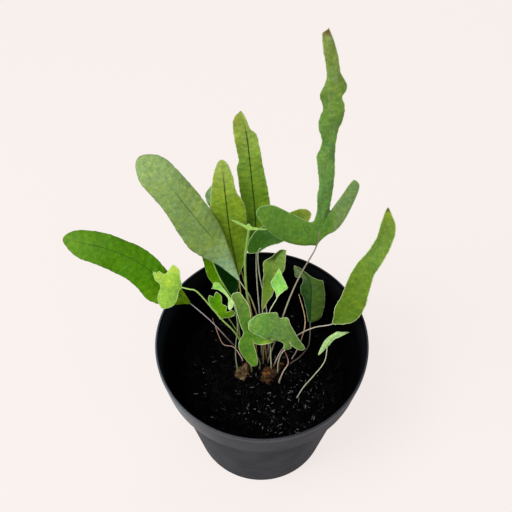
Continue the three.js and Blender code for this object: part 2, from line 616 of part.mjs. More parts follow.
// The blade's middle surface, as rows of points from margin to margin, each with its way up
function bladeRows(frond) {
  const curve = toCurve(frond.rib);
  const face = new THREE.Vector3(...frond.face);
  const margins = [readMargin(frond.left, frond.tip), readMargin(frond.right, frond.tip)];
  const [waveHeight, waves, phase] = frond.wave;
  return rowStations(frond, curve.getLength()).map((station) => {
    const along = curve.getTangentAt(station);
    const across = new THREE.Vector3().crossVectors(along, face).normalize();
    const up = new THREE.Vector3().crossVectors(across, along);
    const row = [];
    for (let column = -BLADE.halfColumns; column <= BLADE.halfColumns; column += 1) {
      const side = Math.sign(column);
      const share = Math.abs(column) / BLADE.halfColumns;
      const { out, ahead } = margins[column < 0 ? 0 : 1](station);
      const swell = Math.sin(2 * Math.PI * waves * station + phase + side);
      const lift = (frond.cup * share ** 2 + waveHeight * share * swell) * Math.min(1, out / BLADE.narrow);
      row.push({
        place: curve.getPointAt(station)
          .addScaledVector(across, side * share * out)
          .addScaledVector(along, share * ahead)
          .addScaledVector(up, lift),
        rib: column === 0 ? 1 - station : 0,
      });
    }
    return row;
  });
}

// Two skins over the middle surface, split into triangles alike, and the edge that closes them
function bladeSolid(frond) {
  const rows = bladeRows(frond);
  const width = rows[0].length;
  const end = rows.length - 1;
  const number = (row, column) => row * width + (row === 0 || row === end ? 0 : column);
  const flat = new THREE.BufferGeometry();
  flat.setAttribute('position', new THREE.Float32BufferAttribute(
    rows.flat().flatMap(({ place }) => place.toArray()), 3));
  const faces = [];
  const edge = [];
  const addFace = (list, a, b, c) => {
    if (a !== b && b !== c && c !== a) list.push([a, b, c]);
  };
  for (let row = 0; row < end; row += 1) {
    for (let column = 0; column < width - 1; column += 1) {
      const [a, b] = [number(row, column), number(row, column + 1)];
      const [c, d] = [number(row + 1, column + 1), number(row + 1, column)];
      if (column < (width - 1) / 2) {
        addFace(faces, a, b, c);
        addFace(faces, a, c, d);
      } else {
        addFace(faces, a, b, d);
        addFace(faces, b, c, d);
      }
    }
    edge.push([number(row + 1, 0), number(row, 0)]);
    edge.push([number(row, width - 1), number(row + 1, width - 1)]);
  }
  flat.setIndex(faces.flat());
  flat.computeVertexNormals();
  const normals = flat.attributes.normal;
  const half = BLADE.thickness / 2;
  const skin = (sign) => rows.flat().map(({ place, rib }, i) => {
    const depth = sign < 0 ? half + BLADE.ribDepth * rib : half;
    return place.clone().addScaledVector(new THREE.Vector3().fromBufferAttribute(normals, i), sign * depth);
  });
  const count = rows.length * width;
  const corners = [
    ...faces.flat(),
    ...faces.flatMap(([a, b, c]) => [a + count, c + count, b + count]),
    ...edge.flatMap(([a, b]) => [a, b + count, b, a, a + count, b + count]),
  ];
  const solid = new THREE.BufferGeometry();
  const places = [...skin(1), ...skin(-1)].flatMap((point) => point.toArray());
  solid.setAttribute('position', new THREE.Float32BufferAttribute(places, 3));
  solid.setIndex(corners);
  return toSolid(solid);
}

// Every stalk stands in a hole of its own, in the soil and in the rhizome
const plants = [...FRONDS, ...STRAWS];
const holes = plants.map((plant) => stalkSolid(plant, STALK.clearance));
const cut = (solid) => holes.reduce((left, hole) => left.subtract(hole), solid);

const fern = new THREE.Group();
fern.add(toMesh('pot', potSolid(), 'pot', ROUGHNESS.pot));
fern.add(toMesh('soil', cut(soilSolid().subtract(rhizomeSolid(SOIL.gap))), 'soil', ROUGHNESS.soil));
fern.add(toMesh('rhizome', cut(rhizomeSolid()), 'rhizome', ROUGHNESS.rhizome));
for (const plant of plants) {
  const stalk = stalkSolid(plant);
  const whole = plant.rib ? stalk.add(bladeSolid(plant)) : stalk;
  fern.add(toMesh(plant.name, whole, plant.tone));
}

export default fern;
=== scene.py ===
"""The looks of a potted blue star fern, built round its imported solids.

Every frond, stalk, knob and wall repeats the driving dimensions of the solid that it replaces, in
millimetres, and adds what is too fine for it: thin waved leaves with veins and pale margins, tapered
stalks, loose soil with bark and fibre, golden scales on the rhizome, and a rounded, satin pot.
"""

import math
import random

import bmesh
import bpy
import numpy as np
from mathutils import Matrix, Vector, noise


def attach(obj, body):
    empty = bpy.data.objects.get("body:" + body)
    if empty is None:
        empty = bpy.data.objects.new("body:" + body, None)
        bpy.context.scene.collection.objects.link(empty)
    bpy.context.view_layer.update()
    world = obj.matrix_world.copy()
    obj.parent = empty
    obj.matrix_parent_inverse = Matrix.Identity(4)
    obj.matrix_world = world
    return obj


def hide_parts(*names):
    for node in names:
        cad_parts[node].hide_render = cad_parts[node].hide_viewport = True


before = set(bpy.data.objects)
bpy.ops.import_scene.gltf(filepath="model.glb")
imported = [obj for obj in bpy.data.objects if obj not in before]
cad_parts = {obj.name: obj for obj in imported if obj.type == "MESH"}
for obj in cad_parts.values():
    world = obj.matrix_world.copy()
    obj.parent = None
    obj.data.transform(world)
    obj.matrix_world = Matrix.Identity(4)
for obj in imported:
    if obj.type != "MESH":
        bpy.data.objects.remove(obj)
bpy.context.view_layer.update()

MM = 0.001

# The pot, the soil and the rhizome, in millimetres, as the solids have them
POT = dict(height=114, rim=60, skirt=21.4, skirt_bottom=58.1, body_top=54.7, foot=43.3, wall=1.4, floor=2)
DRAIN = dict(count=8, radius=4, ring=30)
SOIL = dict(level=72, lump=0.8)
RHIZOME_ARMS = [
    dict(radius=3.4, tip=1.2, path=[(-12, -2, 72.5), (-8, 4, 70), (-2, 10, 68.5), (3, 17, 66)]),
    dict(radius=3.8, tip=1.3, path=[(4, -3, 72), (1, 3, 69.5), (-2, 10, 68)]),
    dict(radius=3, tip=1.1, path=[(3, 1, 69), (10, 4, 70), (18, 8, 67)]),
]
RHIZOME_KNOT = 1.05

# Leaves and stalks, in millimetres: how deep a stalk stands in its hole, the steps along and across a blade
# and along a stalk, and half a blade's thickness inside and at its edge
SUNK = 4.5
ROW = 0.9
COLUMN = 0.8
STALK_STEP = 1.5
HALF_THICKNESS = 0.27
EDGE_THICKNESS = 0.1

# The fewest and most columns of half a blade, the sides of a stalk, how slim it is beside the solid's, where
# on the rib it meets the blade and where it ends, and the half-width from which a blade lifts in full
COLUMN_LIMITS = (6, 22)
STALK_SIDES = 12
STALK_SLIM = 0.72
RIB_SHARE = 0.1
RIB_END = 0.95
NARROW = 4

# The relief of a blade, and the pitch and slant of its veins and the size of their net, in millimetres
GROOVE, PUCKER, BUMPS, CRIMP, SCALLOP = 0.22, 0.104, 0.55, 0.55, 0.22
VEIN_PITCH = 4.6
VEIN_SLANT = 0.55
NET_SIZE = 2.3

# Every frond: its slot and radius, how slim its stalk looks and how much that widens (flare), the way its
# upper face looks, how its margins rise (cup) and wave (height, number of waves, phase), its stalk, the rib
# that its blade grows along from the stalk's end, and its margins. A margin is the distances out from the
# rib at evenly spaced stations, with a rounded end over a share of the rib (tip), or, where it is lobed,
# (station, distance out, distance ahead if any) at the stations between its two ends.
FRONDS = [
    dict(
        name="left", slot="leaf_green", radius=0.65, slim=0.62, face=(0.25, -0.55, 0.8), tip=0.1, cup=-1.5,
        wave=(0.8, 3, 0.5),
        stalk=[(-8, 2, 76), (-12, 8, 82), (-18, 10, 89), (-30, 17, 102), (-42, 23, 112)],
        rib=[(-55, 26, 128), (-69, 32, 139), (-85, 36, 146), (-99, 38, 149), (-112, 41, 149)],
        left=[0.8, 8.5, 13.2, 12, 11.1, 10.7, 9.9, 8.4, 5],
        right=[0.5, 3.7, 5.6, 7.4, 8.5, 8.1, 8.3, 7.4, 5.4],
    ),
    dict(
        name="big", slot="leaf_bluish", radius=0.7, face=(0, -0.65, 0.75), tip=0.09, cup=-1.2,
        wave=(0.7, 3.5, 1.8),
        stalk=[(3, 9, 74), (1, 14, 89), (-3, 19, 106), (-7, 23, 120), (-13, 26, 132)],
        rib=[(-25, 34, 155), (-38, 41, 173), (-50, 48, 188), (-65, 56, 199)],
        left=[0.5, 4.4, 9.6, 13.3, 12.6, 10.9, 10.6, 9.6, 6],
        right=[0.5, 2.3, 4.4, 7.3, 8.9, 9.2, 8.8, 9, 6],
    ),
    dict(
        name="mid", slot="leaf_olive", radius=0.65, face=(0.05, -0.7, 0.7), tip=0.05, cup=0.6,
        wave=(0.5, 4, 0.3),
        stalk=[(-4, 7, 76), (-8, 16, 91), (-12, 26, 108), (-14, 34, 126)],
        rib=[(-18, 42, 149), (-20, 47, 173), (-22, 54, 201)],
        left=[0.4, 1.2, 2.4, 4.9, 7.5, 8.6, 7.3, 5.3, 2.2],
        right=[0.8, 5.3, 8, 9.8, 9.9, 9.7, 6, 4.8, 2.6],
    ),
    dict(
        name="back", slot="leaf_olive", radius=0.65, face=(0, -0.7, 0.7), cup=1, wave=(0.6, 4, 2.1),
        stalk=[(0, 12, 74), (-1, 22, 90), (-3, 34, 110), (-4, 42, 124), (-4, 47, 136)],
        rib=[(-5, 56, 157), (-7, 61, 180), (-9, 63, 206), (-12, 63, 226)],
        left=[
            (0.015, 2.5), (0.034, 5.2), (0.073, 5.5), (0.125, 5), (0.25, 5.6), (0.35, 7), (0.5, 7.1),
            (0.6, 7.1), (0.635, 5.8), (0.7, 6), (0.78, 6.3), (0.87, 6.2), (0.945, 5), (0.98, 3.4),
        ],
        right=[
            (0.02, 1.2), (0.125, 5.2), (0.25, 8.4), (0.36, 8.5), (0.48, 7.7), (0.58, 6.7), (0.73, 5.9),
            (0.8, 5.2), (0.83, 4.5), (0.86, 2.4), (0.93, 1.7), (0.97, 1),
        ],
    ),
    dict(
        name="tall", slot="leaf_green", radius=0.7, face=(0, -0.7, 0.7), cup=-0.8, wave=(1, 6, 0),
        stalk=[(4, 6, 75), (8, 12, 90), (12, 17, 109), (16, 21, 126), (21, 24, 144), (28, 27, 165)],
        rib=[(30, 35, 181), (30, 41, 205), (30, 46, 229), (30, 51, 254), (26, 56, 279)],
        left=[
            (0.01, 7, -2.5), (0.02, 14, -3.5), (0.03, 22, -2), (0.04, 28, 1), (0.05, 33, 5), (0.055, 34, 8),
            (0.06, 31, 10.5), (0.065, 26, 11), (0.075, 19.5, 8.3), (0.08, 12.5, 5.4), (0.085, 9, 3.5),
            (0.09, 6.5, 2.2), (0.1, 4.5, 1.3), (0.125, 3.3, 1.2), (0.17, 2.9), (0.25, 3.4), (0.31, 2.8),
            (0.4, 4.3), (0.45, 4.9), (0.475, 3.8), (0.515, 3), (0.555, 4), (0.585, 5.4), (0.62, 5.1),
            (0.665, 4), (0.72, 5.9), (0.75, 5.6), (0.775, 4), (0.8, 2.9), (0.84, 2.9), (0.925, 3.5),
            (0.98, 2.8),
        ],
        right=[
            (0.02, 2, 1.8), (0.04, 5, 3), (0.045, 8.5, 5.2), (0.05, 11, 9.3), (0.055, 14, 19),
            (0.06, 15.5, 27.7), (0.065, 14, 30.2), (0.07, 11.5, 29.7), (0.075, 8.5, 22.1),
            (0.08, 6.5, 16.9), (0.085, 5, 12.8), (0.09, 4, 9.9), (0.1, 3.4, 8.6), (0.125, 3.2, 7.2),
            (0.16, 3.3, 3.5), (0.2, 3.6, 0.8), (0.23, 4), (0.28, 4.4), (0.35, 4.4), (0.4, 4.2), (0.51, 3.5),
            (0.57, 4.2), (0.615, 5.8), (0.69, 5.6), (0.72, 4.2), (0.745, 6), (0.765, 5.8), (0.82, 3.2),
            (0.89, 2.6), (0.94, 1.7), (0.965, 1),
        ],
    ),
    dict(
        name="right", slot="leaf_olive", radius=0.65, slim=0.6, face=(-0.2, -0.65, 0.75), tip=0.05, cup=1,
        wave=(0.6, 3, 1),
        stalk=[(8, 4, 75), (13, 9, 86), (21, 10, 100), (30, 9, 111), (40, 8, 117)],
        rib=[(47, 12, 128), (55, 21, 152), (63, 29, 173), (63, 36, 187)],
        left=[0.9, 5.6, 5.9, 6.4, 6.1, 4.2, 3.6, 3.6, 1],
        right=[0.9, 7.5, 8.4, 6.8, 5.3, 5.6, 5.2, 4.2, 1],
    ),
    dict(
        name="inner_right", slot="leaf_bluish", radius=0.65, face=(0, -0.7, 0.7), tip=0.12, cup=0.8,
        wave=(0.5, 2, 0),
        stalk=[(4, 13, 74), (4, 19, 84), (2, 28, 104), (-2, 35, 126), (-3, 38, 143)],
        rib=[(2, 42, 149), (10, 46, 154), (18, 50, 158), (26, 53, 161)],
        left=[
            (0.01, 1.8, -2.1), (0.02, 3.8, -3.9), (0.035, 5.8, -3.5), (0.06, 7.2, -1.8), (0.1, 8, -0.6),
            (0.16, 8.4), (0.23, 8.4), (0.375, 7.4), (0.5, 6.7), (0.625, 6), (0.75, 5.5), (0.875, 4.6),
            (0.94, 3.4), (0.97, 2.4), (0.99, 1.2),
        ],
        right=[0.4, 1.9, 3.9, 5.6, 6.1, 5.9, 5.3, 4.4, 3],
    ),
    dict(
        name="shaded", slot="leaf_shaded", radius=0.65, face=(0, -0.6, 0.8), tip=0.06, cup=1.6,
        wave=(0.5, 2, 1),
        stalk=[(-9, 6, 75), (-13, 15, 84), (-15, 24, 95), (-18, 32, 104)],
        rib=[(-26, 38, 119), (-32, 45, 137), (-38, 53, 151)],
        left=[1, 2.9, 4.6, 5.8, 5.3, 4.6, 4.4, 3.4, 1],
        right=[1.7, 7.8, 9.2, 9.3, 7.9, 6.8, 5.8, 4.9, 1.5],
    ),
    dict(
        name="hidden", slot="leaf_bluish", radius=0.65, face=(0, -0.7, 0.7), tip=0.08, cup=1,
        wave=(0.4, 2, 0),
        stalk=[(-3, 13, 73), (-6, 26, 91), (-10, 37, 108), (-14, 44, 122), (-17, 47, 127)],
        rib=[(-21, 53, 143), (-25, 58, 158), (-27.5, 62, 174)],
        left=[(0.1, 2.6), (0.3, 4.6), (0.5, 4.9), (0.73, 5.3), (0.81, 6.1), (0.89, 5.8), (0.957, 2.9)],
        right=[0.6, 2.6, 3.8, 4.6, 4.8, 4.6, 4, 3.2, 2],
    ),
    dict(
        name="twisted", slot="leaf_green", radius=0.6, face=(-0.15, -0.7, 0.7), cup=1.4, wave=(0.5, 2, 2),
        stalk=[(1, 5, 76), (1, 8, 89), (1, 14, 101), (0, 22, 108)],
        rib=[(3, 28, 117), (6, 34, 130), (9, 37, 139), (13, 38, 146)],
        left=[
            (0.03, 0.9), (0.125, 2), (0.25, 3.2), (0.4, 4.2), (0.52, 4.8), (0.6, 5.9), (0.67, 7.1),
            (0.72, 6.6), (0.78, 4.5), (0.875, 3.4), (0.945, 2.8), (0.98, 1.8),
        ],
        right=[
            (0.03, 0.8), (0.125, 1.4), (0.25, 2.9), (0.375, 3.5), (0.5, 4.2), (0.625, 5.2), (0.73, 5.4),
            (0.855, 4.3), (0.94, 1.9), (0.98, 0.4),
        ],
    ),
    dict(
        name="bright", slot="leaf_young", radius=0.55, face=(0, -0.6, 0.8), cup=0.6, wave=(0.2, 2, 0),
        stalk=[(6, 1, 75), (5, 8, 91), (4, 16, 112), (6, 18, 120), (8, 19, 125)],
        rib=[(9, 25, 131), (9, 31, 138)],
        left=[(0.1, 0.6), (0.23, 1.6), (0.44, 4.2), (0.58, 4.3), (0.81, 2), (0.93, 0.9)],
        right=[
            (0.05, 0.4), (0.16, 1.5), (0.285, 3.4), (0.395, 5.4), (0.53, 4), (0.68, 2.6), (0.78, 1.7),
            (0.92, 1),
        ],
    ),
    dict(
        name="hooded", slot="leaf_shaded", radius=0.6, face=(0, -0.6, 0.8), cup=-1.2, wave=(0.3, 2, 0),
        stalk=[(18, 5, 74), (23, 7, 78), (28, 11, 84), (29, 16, 89), (29, 22, 94)],
        rib=[(29, 29, 103), (29, 36, 111), (26, 41, 116), (18.5, 46, 120)],
        left=[
            (0.025, 1.3), (0.13, 2.1), (0.26, 3.2), (0.38, 4.7), (0.49, 6.6), (0.62, 5.9), (0.735, 3.4),
            (0.78, 2.5), (0.85, 4.7), (0.885, 4.8), (0.93, 3), (0.97, 1.8),
        ],
        right=[
            (0.02, 2.4), (0.035, 4.8), (0.1, 6.8), (0.22, 8), (0.38, 8.3), (0.5, 8), (0.56, 7.6),
            (0.61, 7.6), (0.63, 5.4), (0.67, 3.2), (0.74, 1.6), (0.83, 1), (0.92, 0.9),
        ],
    ),
    dict(
        name="centre", slot="leaf_green", radius=0.6, face=(0, -0.6, 0.8), cup=-0.9, wave=(0.5, 2, 0.5),
        stalk=[(10, -1, 76), (10, 0, 84), (12, 1, 95), (17, 1, 104)],
        rib=[(12, 4, 109), (6, 7, 113), (-2, 8, 115), (-8, 7, 114)],
        left=[
            (0.03, 1.4, -2.3), (0.05, 3.7, -2.3), (0.08, 4.8, -2.2), (0.12, 3.6, -1), (0.16, 2.7, -0.5),
            (0.3, 5, 0.5), (0.5, 7.5), (0.65, 7, 1.5), (0.8, 5.5, 2), (0.92, 3, 2), (0.97, 1.2, 1.2),
        ],
        right=[
            (0.03, 1, -5.6), (0.045, 3.5, -8.8), (0.06, 5, -8.4), (0.08, 5.5, -2.9), (0.1, 6.5, 2.4),
            (0.13, 7.5, 5.7), (0.18, 9, 7.5), (0.23, 8.5, 7.5), (0.28, 6.8, 7), (0.33, 6.2, 7),
            (0.38, 7.8, 8), (0.46, 6.5, 7.5), (0.56, 6.5, 6), (0.7, 5, 4.5), (0.82, 3.2, 3),
            (0.92, 2.4, 1.4),
        ],
    ),
    dict(
        name="pale", slot="leaf_young", radius=0.75, face=(0.1, -0.6, 0.8), cup=0.5, wave=(0.3, 2, 0),
        stalk=[
            (-6, 0, 76), (-9, 5, 88), (-16, 10, 102), (-24, 13, 113), (-36, 19, 130), (-41, 20, 132),
            (-45, 21, 132),
        ],
        rib=[(-50, 21, 134), (-56, 24, 136), (-62, 29, 136)],
        left=[
            (0.085, 2.4), (0.11, 6.4, -0.4), (0.15, 10.5), (0.2, 13.6, 2.4), (0.23, 13.7, 3.2),
            (0.27, 11.5, 3.8), (0.31, 8.8, 3.9), (0.38, 4.8, 2.9), (0.52, 3.2, 1.6), (0.66, 3, 1.5),
            (0.8, 2, 1), (0.92, 1, 0.5),
        ],
        right=[
            (0.05, 3.5, 0.5), (0.1, 6, 0.5), (0.15, 9, 0.5), (0.2, 10.5, 2), (0.24, 11, 4.5),
            (0.28, 8.5, 5.5), (0.34, 6, 5), (0.42, 3.5, 4), (0.5, 2.5, 4.5), (0.57, 2.5, 5), (0.65, 1.5, 4),
            (0.77, 0.8, 2), (0.9, 0.5, 0.5),
        ],
    ),
    dict(
        name="trefoil", slot="leaf_green", radius=0.55, face=(0, -0.6, 0.8), cup=0.8, wave=(0.3, 2, 0),
        stalk=[(-1, 1, 77), (-1, 1, 82), (-3, 2, 90), (-5, 4, 101)],
        rib=[(-7, 7, 106), (-11, 14, 115), (-15, 23, 125)],
        left=[
            (0.03, 0.6, -8.5), (0.05, 2, -16), (0.065, 4.8, -17.2), (0.08, 6.4, -15.2), (0.095, 7.4, -12.7),
            (0.115, 8.6, -8.7), (0.14, 9, -5.5), (0.165, 8.4, -3.1), (0.19, 7, -1.3), (0.22, 4.6, -0.5),
            (0.27, 3.2, -0.3), (0.4, 3.4), (0.52, 3.2, 0.2), (0.67, 2.9), (0.82, 3, 0.5), (0.92, 3.7, 0.6),
            (0.97, 2.2, 0.9),
        ],
        right=[
            (0.01, 1, -1.5), (0.03, 3.5, -3.4), (0.05, 6, -4.6), (0.075, 9.5, -6), (0.1, 11.8, -6.4),
            (0.125, 11.5, -4.8), (0.155, 8.5, -3.4), (0.19, 5.5, -2.1), (0.24, 3.8, -0.8), (0.32, 3.5, 0.3),
            (0.45, 3.9, 0.5), (0.6, 4.7, 0.6), (0.72, 4.8, 0.7), (0.8, 4.1, 0.5), (0.93, 2.4, 0.7),
            (0.975, 1.4, 0.6),
        ],
    ),
    dict(
        name="clover", slot="leaf_young", radius=0.55, face=(0, -0.6, 0.8), cup=1, wave=(0.2, 2, 0),
        stalk=[(-6, 4, 76), (-11, 9, 88), (-15, 14, 97), (-20, 18, 105)],
        rib=[(-25, 21, 110), (-29, 24, 114), (-31, 26, 117)],
        left=[
            (0.06, 2.6, 1.1), (0.12, 4, 0.8), (0.22, 3.2, 1.4), (0.4, 2.7, 0.9), (0.6, 2.9, 0.7),
            (0.78, 2.4, 0.6), (0.9, 1.6, 0.4),
        ],
        right=[
            (0.015, 3.6, -1.4), (0.035, 5.2), (0.055, 4.6, 1.4), (0.08, 2.6, 1.6), (0.12, 1.7, 1.4),
            (0.2, 3.6, 1.8), (0.27, 4.2, 1.7), (0.34, 3.2, 2.8), (0.42, 4.6, 3.6), (0.5, 5.9, 4.1),
            (0.57, 5.7, 5.1), (0.63, 5, 5.5), (0.69, 3.4, 4.1), (0.73, 1.9, 2.1), (0.85, 1.5, 0.9),
            (0.93, 0.9, 0.3),
        ],
    ),
    dict(
        name="curled", slot="leaf_young", radius=0.5, face=(0, -0.6, 0.8), cup=0.8, wave=(0.2, 2, 0),
        stalk=[
            (-14.5, -1, 76), (-15.5, 3, 83), (-15.5, 8, 91), (-14.5, 13, 100), (-15, 17, 109),
            (-16.5, 20, 116),
        ],
        rib=[
            (-18.7, 23, 117), (-21.5, 26, 119.5), (-24.5, 28, 121), (-27.5, 29, 122.5), (-28.7, 29, 122.8),
        ],
        left=[
            (0.03, 2, -1.6), (0.06, 3.5, -2.5), (0.1, 3.7, -1.4), (0.16, 2.5, -0.6), (0.26, 0.8, 0.1),
            (0.45, 0.8), (0.63, 1.1, -0.1), (0.78, 1.4), (0.88, 2.1, 0.6), (0.94, 2.5, 1.3), (0.97, 1.6, 1),
        ],
        right=[
            (0.06, 0.8, 0.1), (0.26, 0.7), (0.5, 0.8), (0.68, 1.3, 0.2), (0.76, 1.9, 0.4), (0.84, 2.5, 0.2),
            (0.94, 1.9, 0.6), (0.97, 1.2, 0.3),
        ],
    ),
    dict(
        name="unfurling", slot="leaf_olive", radius=0.6, slim=0.95, flare=0.9, face=(0, -0.65, 0.75),
        cup=0.3, wave=(0.1, 1, 0),
        stalk=[(-5, 11, 73), (-6, 16, 99), (-9, 22, 127), (-10, 29, 147), (-9, 33, 157), (-8, 36, 165)],
        rib=[(-8, 37.5, 166.5), (-8, 39, 168)],
        left=[
            (0.2, 1.5, 0.75), (0.28, 5, 2.4), (0.34, 8.6, 3.9), (0.4, 9.2, 4.5), (0.48, 5, 2.9),
            (0.58, 1.5, 0.8), (0.8, 0.9, 0.3),
        ],
        right=[
            (0.2, 1.5), (0.28, 5, -0.3), (0.34, 9, -0.5), (0.4, 9.7, -0.3), (0.48, 5), (0.58, 1.5, 0.1),
            (0.8, 0.9, 0.2),
        ],
    ),
    dict(
        name="edge", slot="leaf_young", radius=0.55, face=(0.3, -0.75, 0.6), cup=0.4, wave=(0.2, 1, 0),
        stalk=[(21, -18, 72), (25, -13, 78), (31, -8, 84), (37, -2, 90), (39, 7, 92)],
        rib=[(42, 10, 95), (46, 14, 98)],
        left=[
            (0.06, 0.6, -5), (0.1, 1.6, -8.7), (0.2, 3.2, -5.5), (0.35, 4.2, -1.6), (0.55, 3.6, -0.6),
            (0.75, 2.4, -0.3), (0.9, 1.2, 0.4),
        ],
        right=[
            (0.15, 0.4, -0.6), (0.3, 0.4, 0.3), (0.5, 1, 1), (0.65, 2.3, 1.2), (0.75, 4, 4), (0.8, 5.5, 6),
            (0.88, 3, 3.5), (0.95, 1, 1),
        ],
    ),
]
for frond in FRONDS:
    frond["rib"].insert(0, frond["stalk"][-1])

# Bare stalks whose blades have dropped, and one dried scrap
STRAWS = [
    dict(
        name="right", radius=0.6, slim=0.6,
        stalk=[(19, 9, 73), (22, 12, 80), (25, 15, 97), (25, 20, 105), (21, 27, 118)],
    ),
    dict(
        name="left", radius=0.6, slim=0.55,
        stalk=[(-12, 7, 75), (-17, 12, 80), (-23, 12, 83), (-26, 15, 88), (-30, 23, 96)],
    ),
    dict(
        name="dried", radius=0.9, slim=0.5, stalk=[(11, -7, 74), (13, -4, 80), (16, 0, 85), (13, 5, 92)],
    ),
]

# The look of each frond. Screen colours: its blade's from base to tip, its right half's (other), right
# lobe's, left end's and very tip's where those differ, and its stalk's from the root to the blade. Strengths:
# of a dark midrib (rib) along a part of the blade (spine) or a pale one (pale_line), yellowish patches, pale
# streaks beside the midrib, netted veins (net), the margin (rim, whose rim_colour is linear) and the greyish
# underside (under).
LOOKS = {
    # Left: the pale first blade stop is painted light, raised to offset the shadow that the pale frond casts
    # on this blade's base.
    "left": dict(
        blade=[(128, 168, 20), (74, 126, 0), (70, 116, 4), (92, 132, 30)], rib=0.45, rim=0.4, net=1.2,
        rim_colour=(0.1, 0.09, 0.03), stalk=[(60, 42, 40), (84, 62, 62), (172, 160, 164), (178, 170, 170)],
    ),
    "big": dict(
        blade=[(156, 186, 142), (120, 143, 70), (122, 146, 78), (139, 162, 98)], rib=0.5, spine=(0.3, 0.8),
        patches=0.2, rim_colour=(0.12, 0.09, 0.05), rim=0.4, net=0.7,
        stalk=[(196, 150, 84), (196, 172, 110), (176, 196, 150)],
    ),
    "mid": dict(
        blade=[(104, 132, 24), (108, 138, 28), (128, 154, 40), (164, 180, 82)], rib=0.9, rim=0.5,
        stalk=[(206, 160, 96), (212, 168, 96), (150, 150, 70)],
    ),
    "back": dict(
        blade=[(116, 158, 36), (112, 150, 36), (132, 163, 60), (166, 182, 78)], rib=0.9, rim=0.4,
        stalk=[(190, 180, 160), (206, 204, 188), (164, 174, 120)],
    ),
    "tall": dict(
        blade=[(80, 116, 34), (97, 134, 64), (101, 132, 53), (126, 141, 68)], rim=0.4,
        right_lobe=(110, 134, 72), streaks=0.14, tip=(96, 74, 40),
        stalk=[(200, 188, 160), (186, 178, 150), (120, 112, 90)],
    ),
    "right": dict(
        blade=[(88, 116, 24), (98, 126, 32), (105, 134, 50), (116, 136, 44)], rim=0.9, net=1.2,
        tip=(70, 46, 24), stalk=[(206, 190, 176), (208, 194, 178), (190, 184, 160)],
    ),
    "inner_right": dict(
        blade=[(55, 97, 15), (63, 104, 37), (80, 124, 16), (134, 140, 52)], rib=0.2, rim=0.7, net=0.6,
        stalk=[(200, 190, 170), (208, 206, 192), (176, 182, 150)],
    ),
    # Shaded: the near-black green of the right half (other) is painted shade.
    "shaded": dict(
        blade=[(104, 160, 9), (98, 151, 0), (98, 149, 0), (100, 149, 4)], rim=0.3, net=0.8, pale_line=0.9,
        other=(8, 46, 2), stalk=[(150, 130, 90), (130, 150, 80)],
    ),
    # Hidden: its colours are painted light, raised to offset the shade that this frond stands in.
    "hidden": dict(
        blade=[(80, 116, 50), (120, 156, 84), (166, 198, 130), (172, 204, 134)], rib=0.2, rim=0.3,
        stalk=[(206, 160, 96), (206, 164, 100), (130, 140, 80)],
    ),
    "twisted": dict(
        blade=[(138, 152, 62), (107, 142, 40), (116, 145, 60), (122, 149, 66)], rib=0.15, rim=0.7,
        left_end=(56, 76, 24), stalk=[(176, 160, 130), (176, 176, 130)],
    ),
    "bright": dict(
        blade=[(168, 214, 122), (142, 204, 92), (136, 198, 88), (138, 198, 86)], rim=0.9, net=0.4,
        stalk=[(200, 206, 164), (216, 232, 180)],
    ),
    # Hooded: the dark blade below the lighter flap at its tip is painted shade.
    "hooded": dict(
        blade=[(34, 68, 30), (39, 73, 30), (53, 85, 34), (142, 164, 104)], rib=0.8, rim=0.65,
        other=(72, 98, 36), stalk=[(96, 84, 76), (112, 108, 96)],
    ),
    "centre": dict(
        blade=[(98, 130, 54), (104, 136, 64), (100, 142, 54), (114, 152, 66)], rib=0.1, rim=1.0,
        stalk=[(206, 196, 176), (214, 210, 176)],
    ),
    "pale": dict(
        blade=[(138, 176, 64), (144, 182, 62), (150, 180, 66), (146, 174, 62)], rim=0.6, net=0.6,
        right_lobe=(166, 194, 76), stalk=[(140, 160, 92), (164, 196, 100), (164, 200, 100)],
    ),
    "trefoil": dict(
        blade=[(107, 155, 45), (85, 130, 40), (94, 126, 45), (106, 134, 60)], rib=0.2, rim=1.0, net=0.8,
        right_lobe=(150, 182, 62), stalk=[(180, 176, 140), (170, 180, 116)],
    ),
    "clover": dict(
        blade=[(98, 142, 12), (110, 162, 6), (84, 142, 0), (100, 156, 30)], rib=0.2, rim=0.8, net=0.5,
        stalk=[(140, 150, 92), (136, 166, 80)],
    ),
    "curled": dict(
        blade=[(198, 226, 150), (184, 226, 134), (150, 204, 98), (140, 196, 84)], rim=0.8, net=0.3,
        stalk=[(150, 160, 124), (156, 176, 132), (176, 204, 140)],
    ),
    "unfurling": dict(
        blade=[(128, 168, 74), (146, 184, 84), (146, 184, 84), (141, 176, 78)], rim=0.4, net=0.3,
        under=0.05, stalk=[(206, 190, 150), (140, 164, 84), (118, 162, 66)],
    ),
    # Edge: its near-white green is painted light, raised well above the leaf's own colour to make up for the
    # dim light where it stands.
    "edge": dict(
        blade=[(208, 255, 160), (208, 255, 160), (210, 255, 164), (214, 255, 172)], rim=1.0, net=0.4,
        under=0.1, stalk=[(176, 168, 154), (206, 216, 176)],
    ),
}
STRAW_LOOKS = {
    "right": [(206, 190, 176), (222, 190, 150), (226, 188, 140)],
    "left": [(232, 212, 202), (212, 168, 148), (190, 130, 102)],
    "dried": [(190, 176, 160), (204, 180, 156), (150, 66, 38)],
}

# How bright the leaves and stalks are, as a share of the colours above
LIGHT = 0.98


def linear(colour, share=LIGHT):
    """A screen colour from 0 to 255 as linear light, times a share."""
    def channel(value):
        value /= 255
        return value / 12.92 if value <= 0.04045 else ((value + 0.055) / 1.055) ** 2.4
    return tuple(channel(value) * share for value in colour)


# Curves and margins, by the same formulas as the solids
def unit(vectors):
    return vectors / np.maximum(np.linalg.norm(vectors, axis=-1, keepdims=True), 1e-9)


def smooth_step(low, high, value):
    share = np.clip((value - low) / (high - low), 0, 1)
    return share * share * (3 - 2 * share)


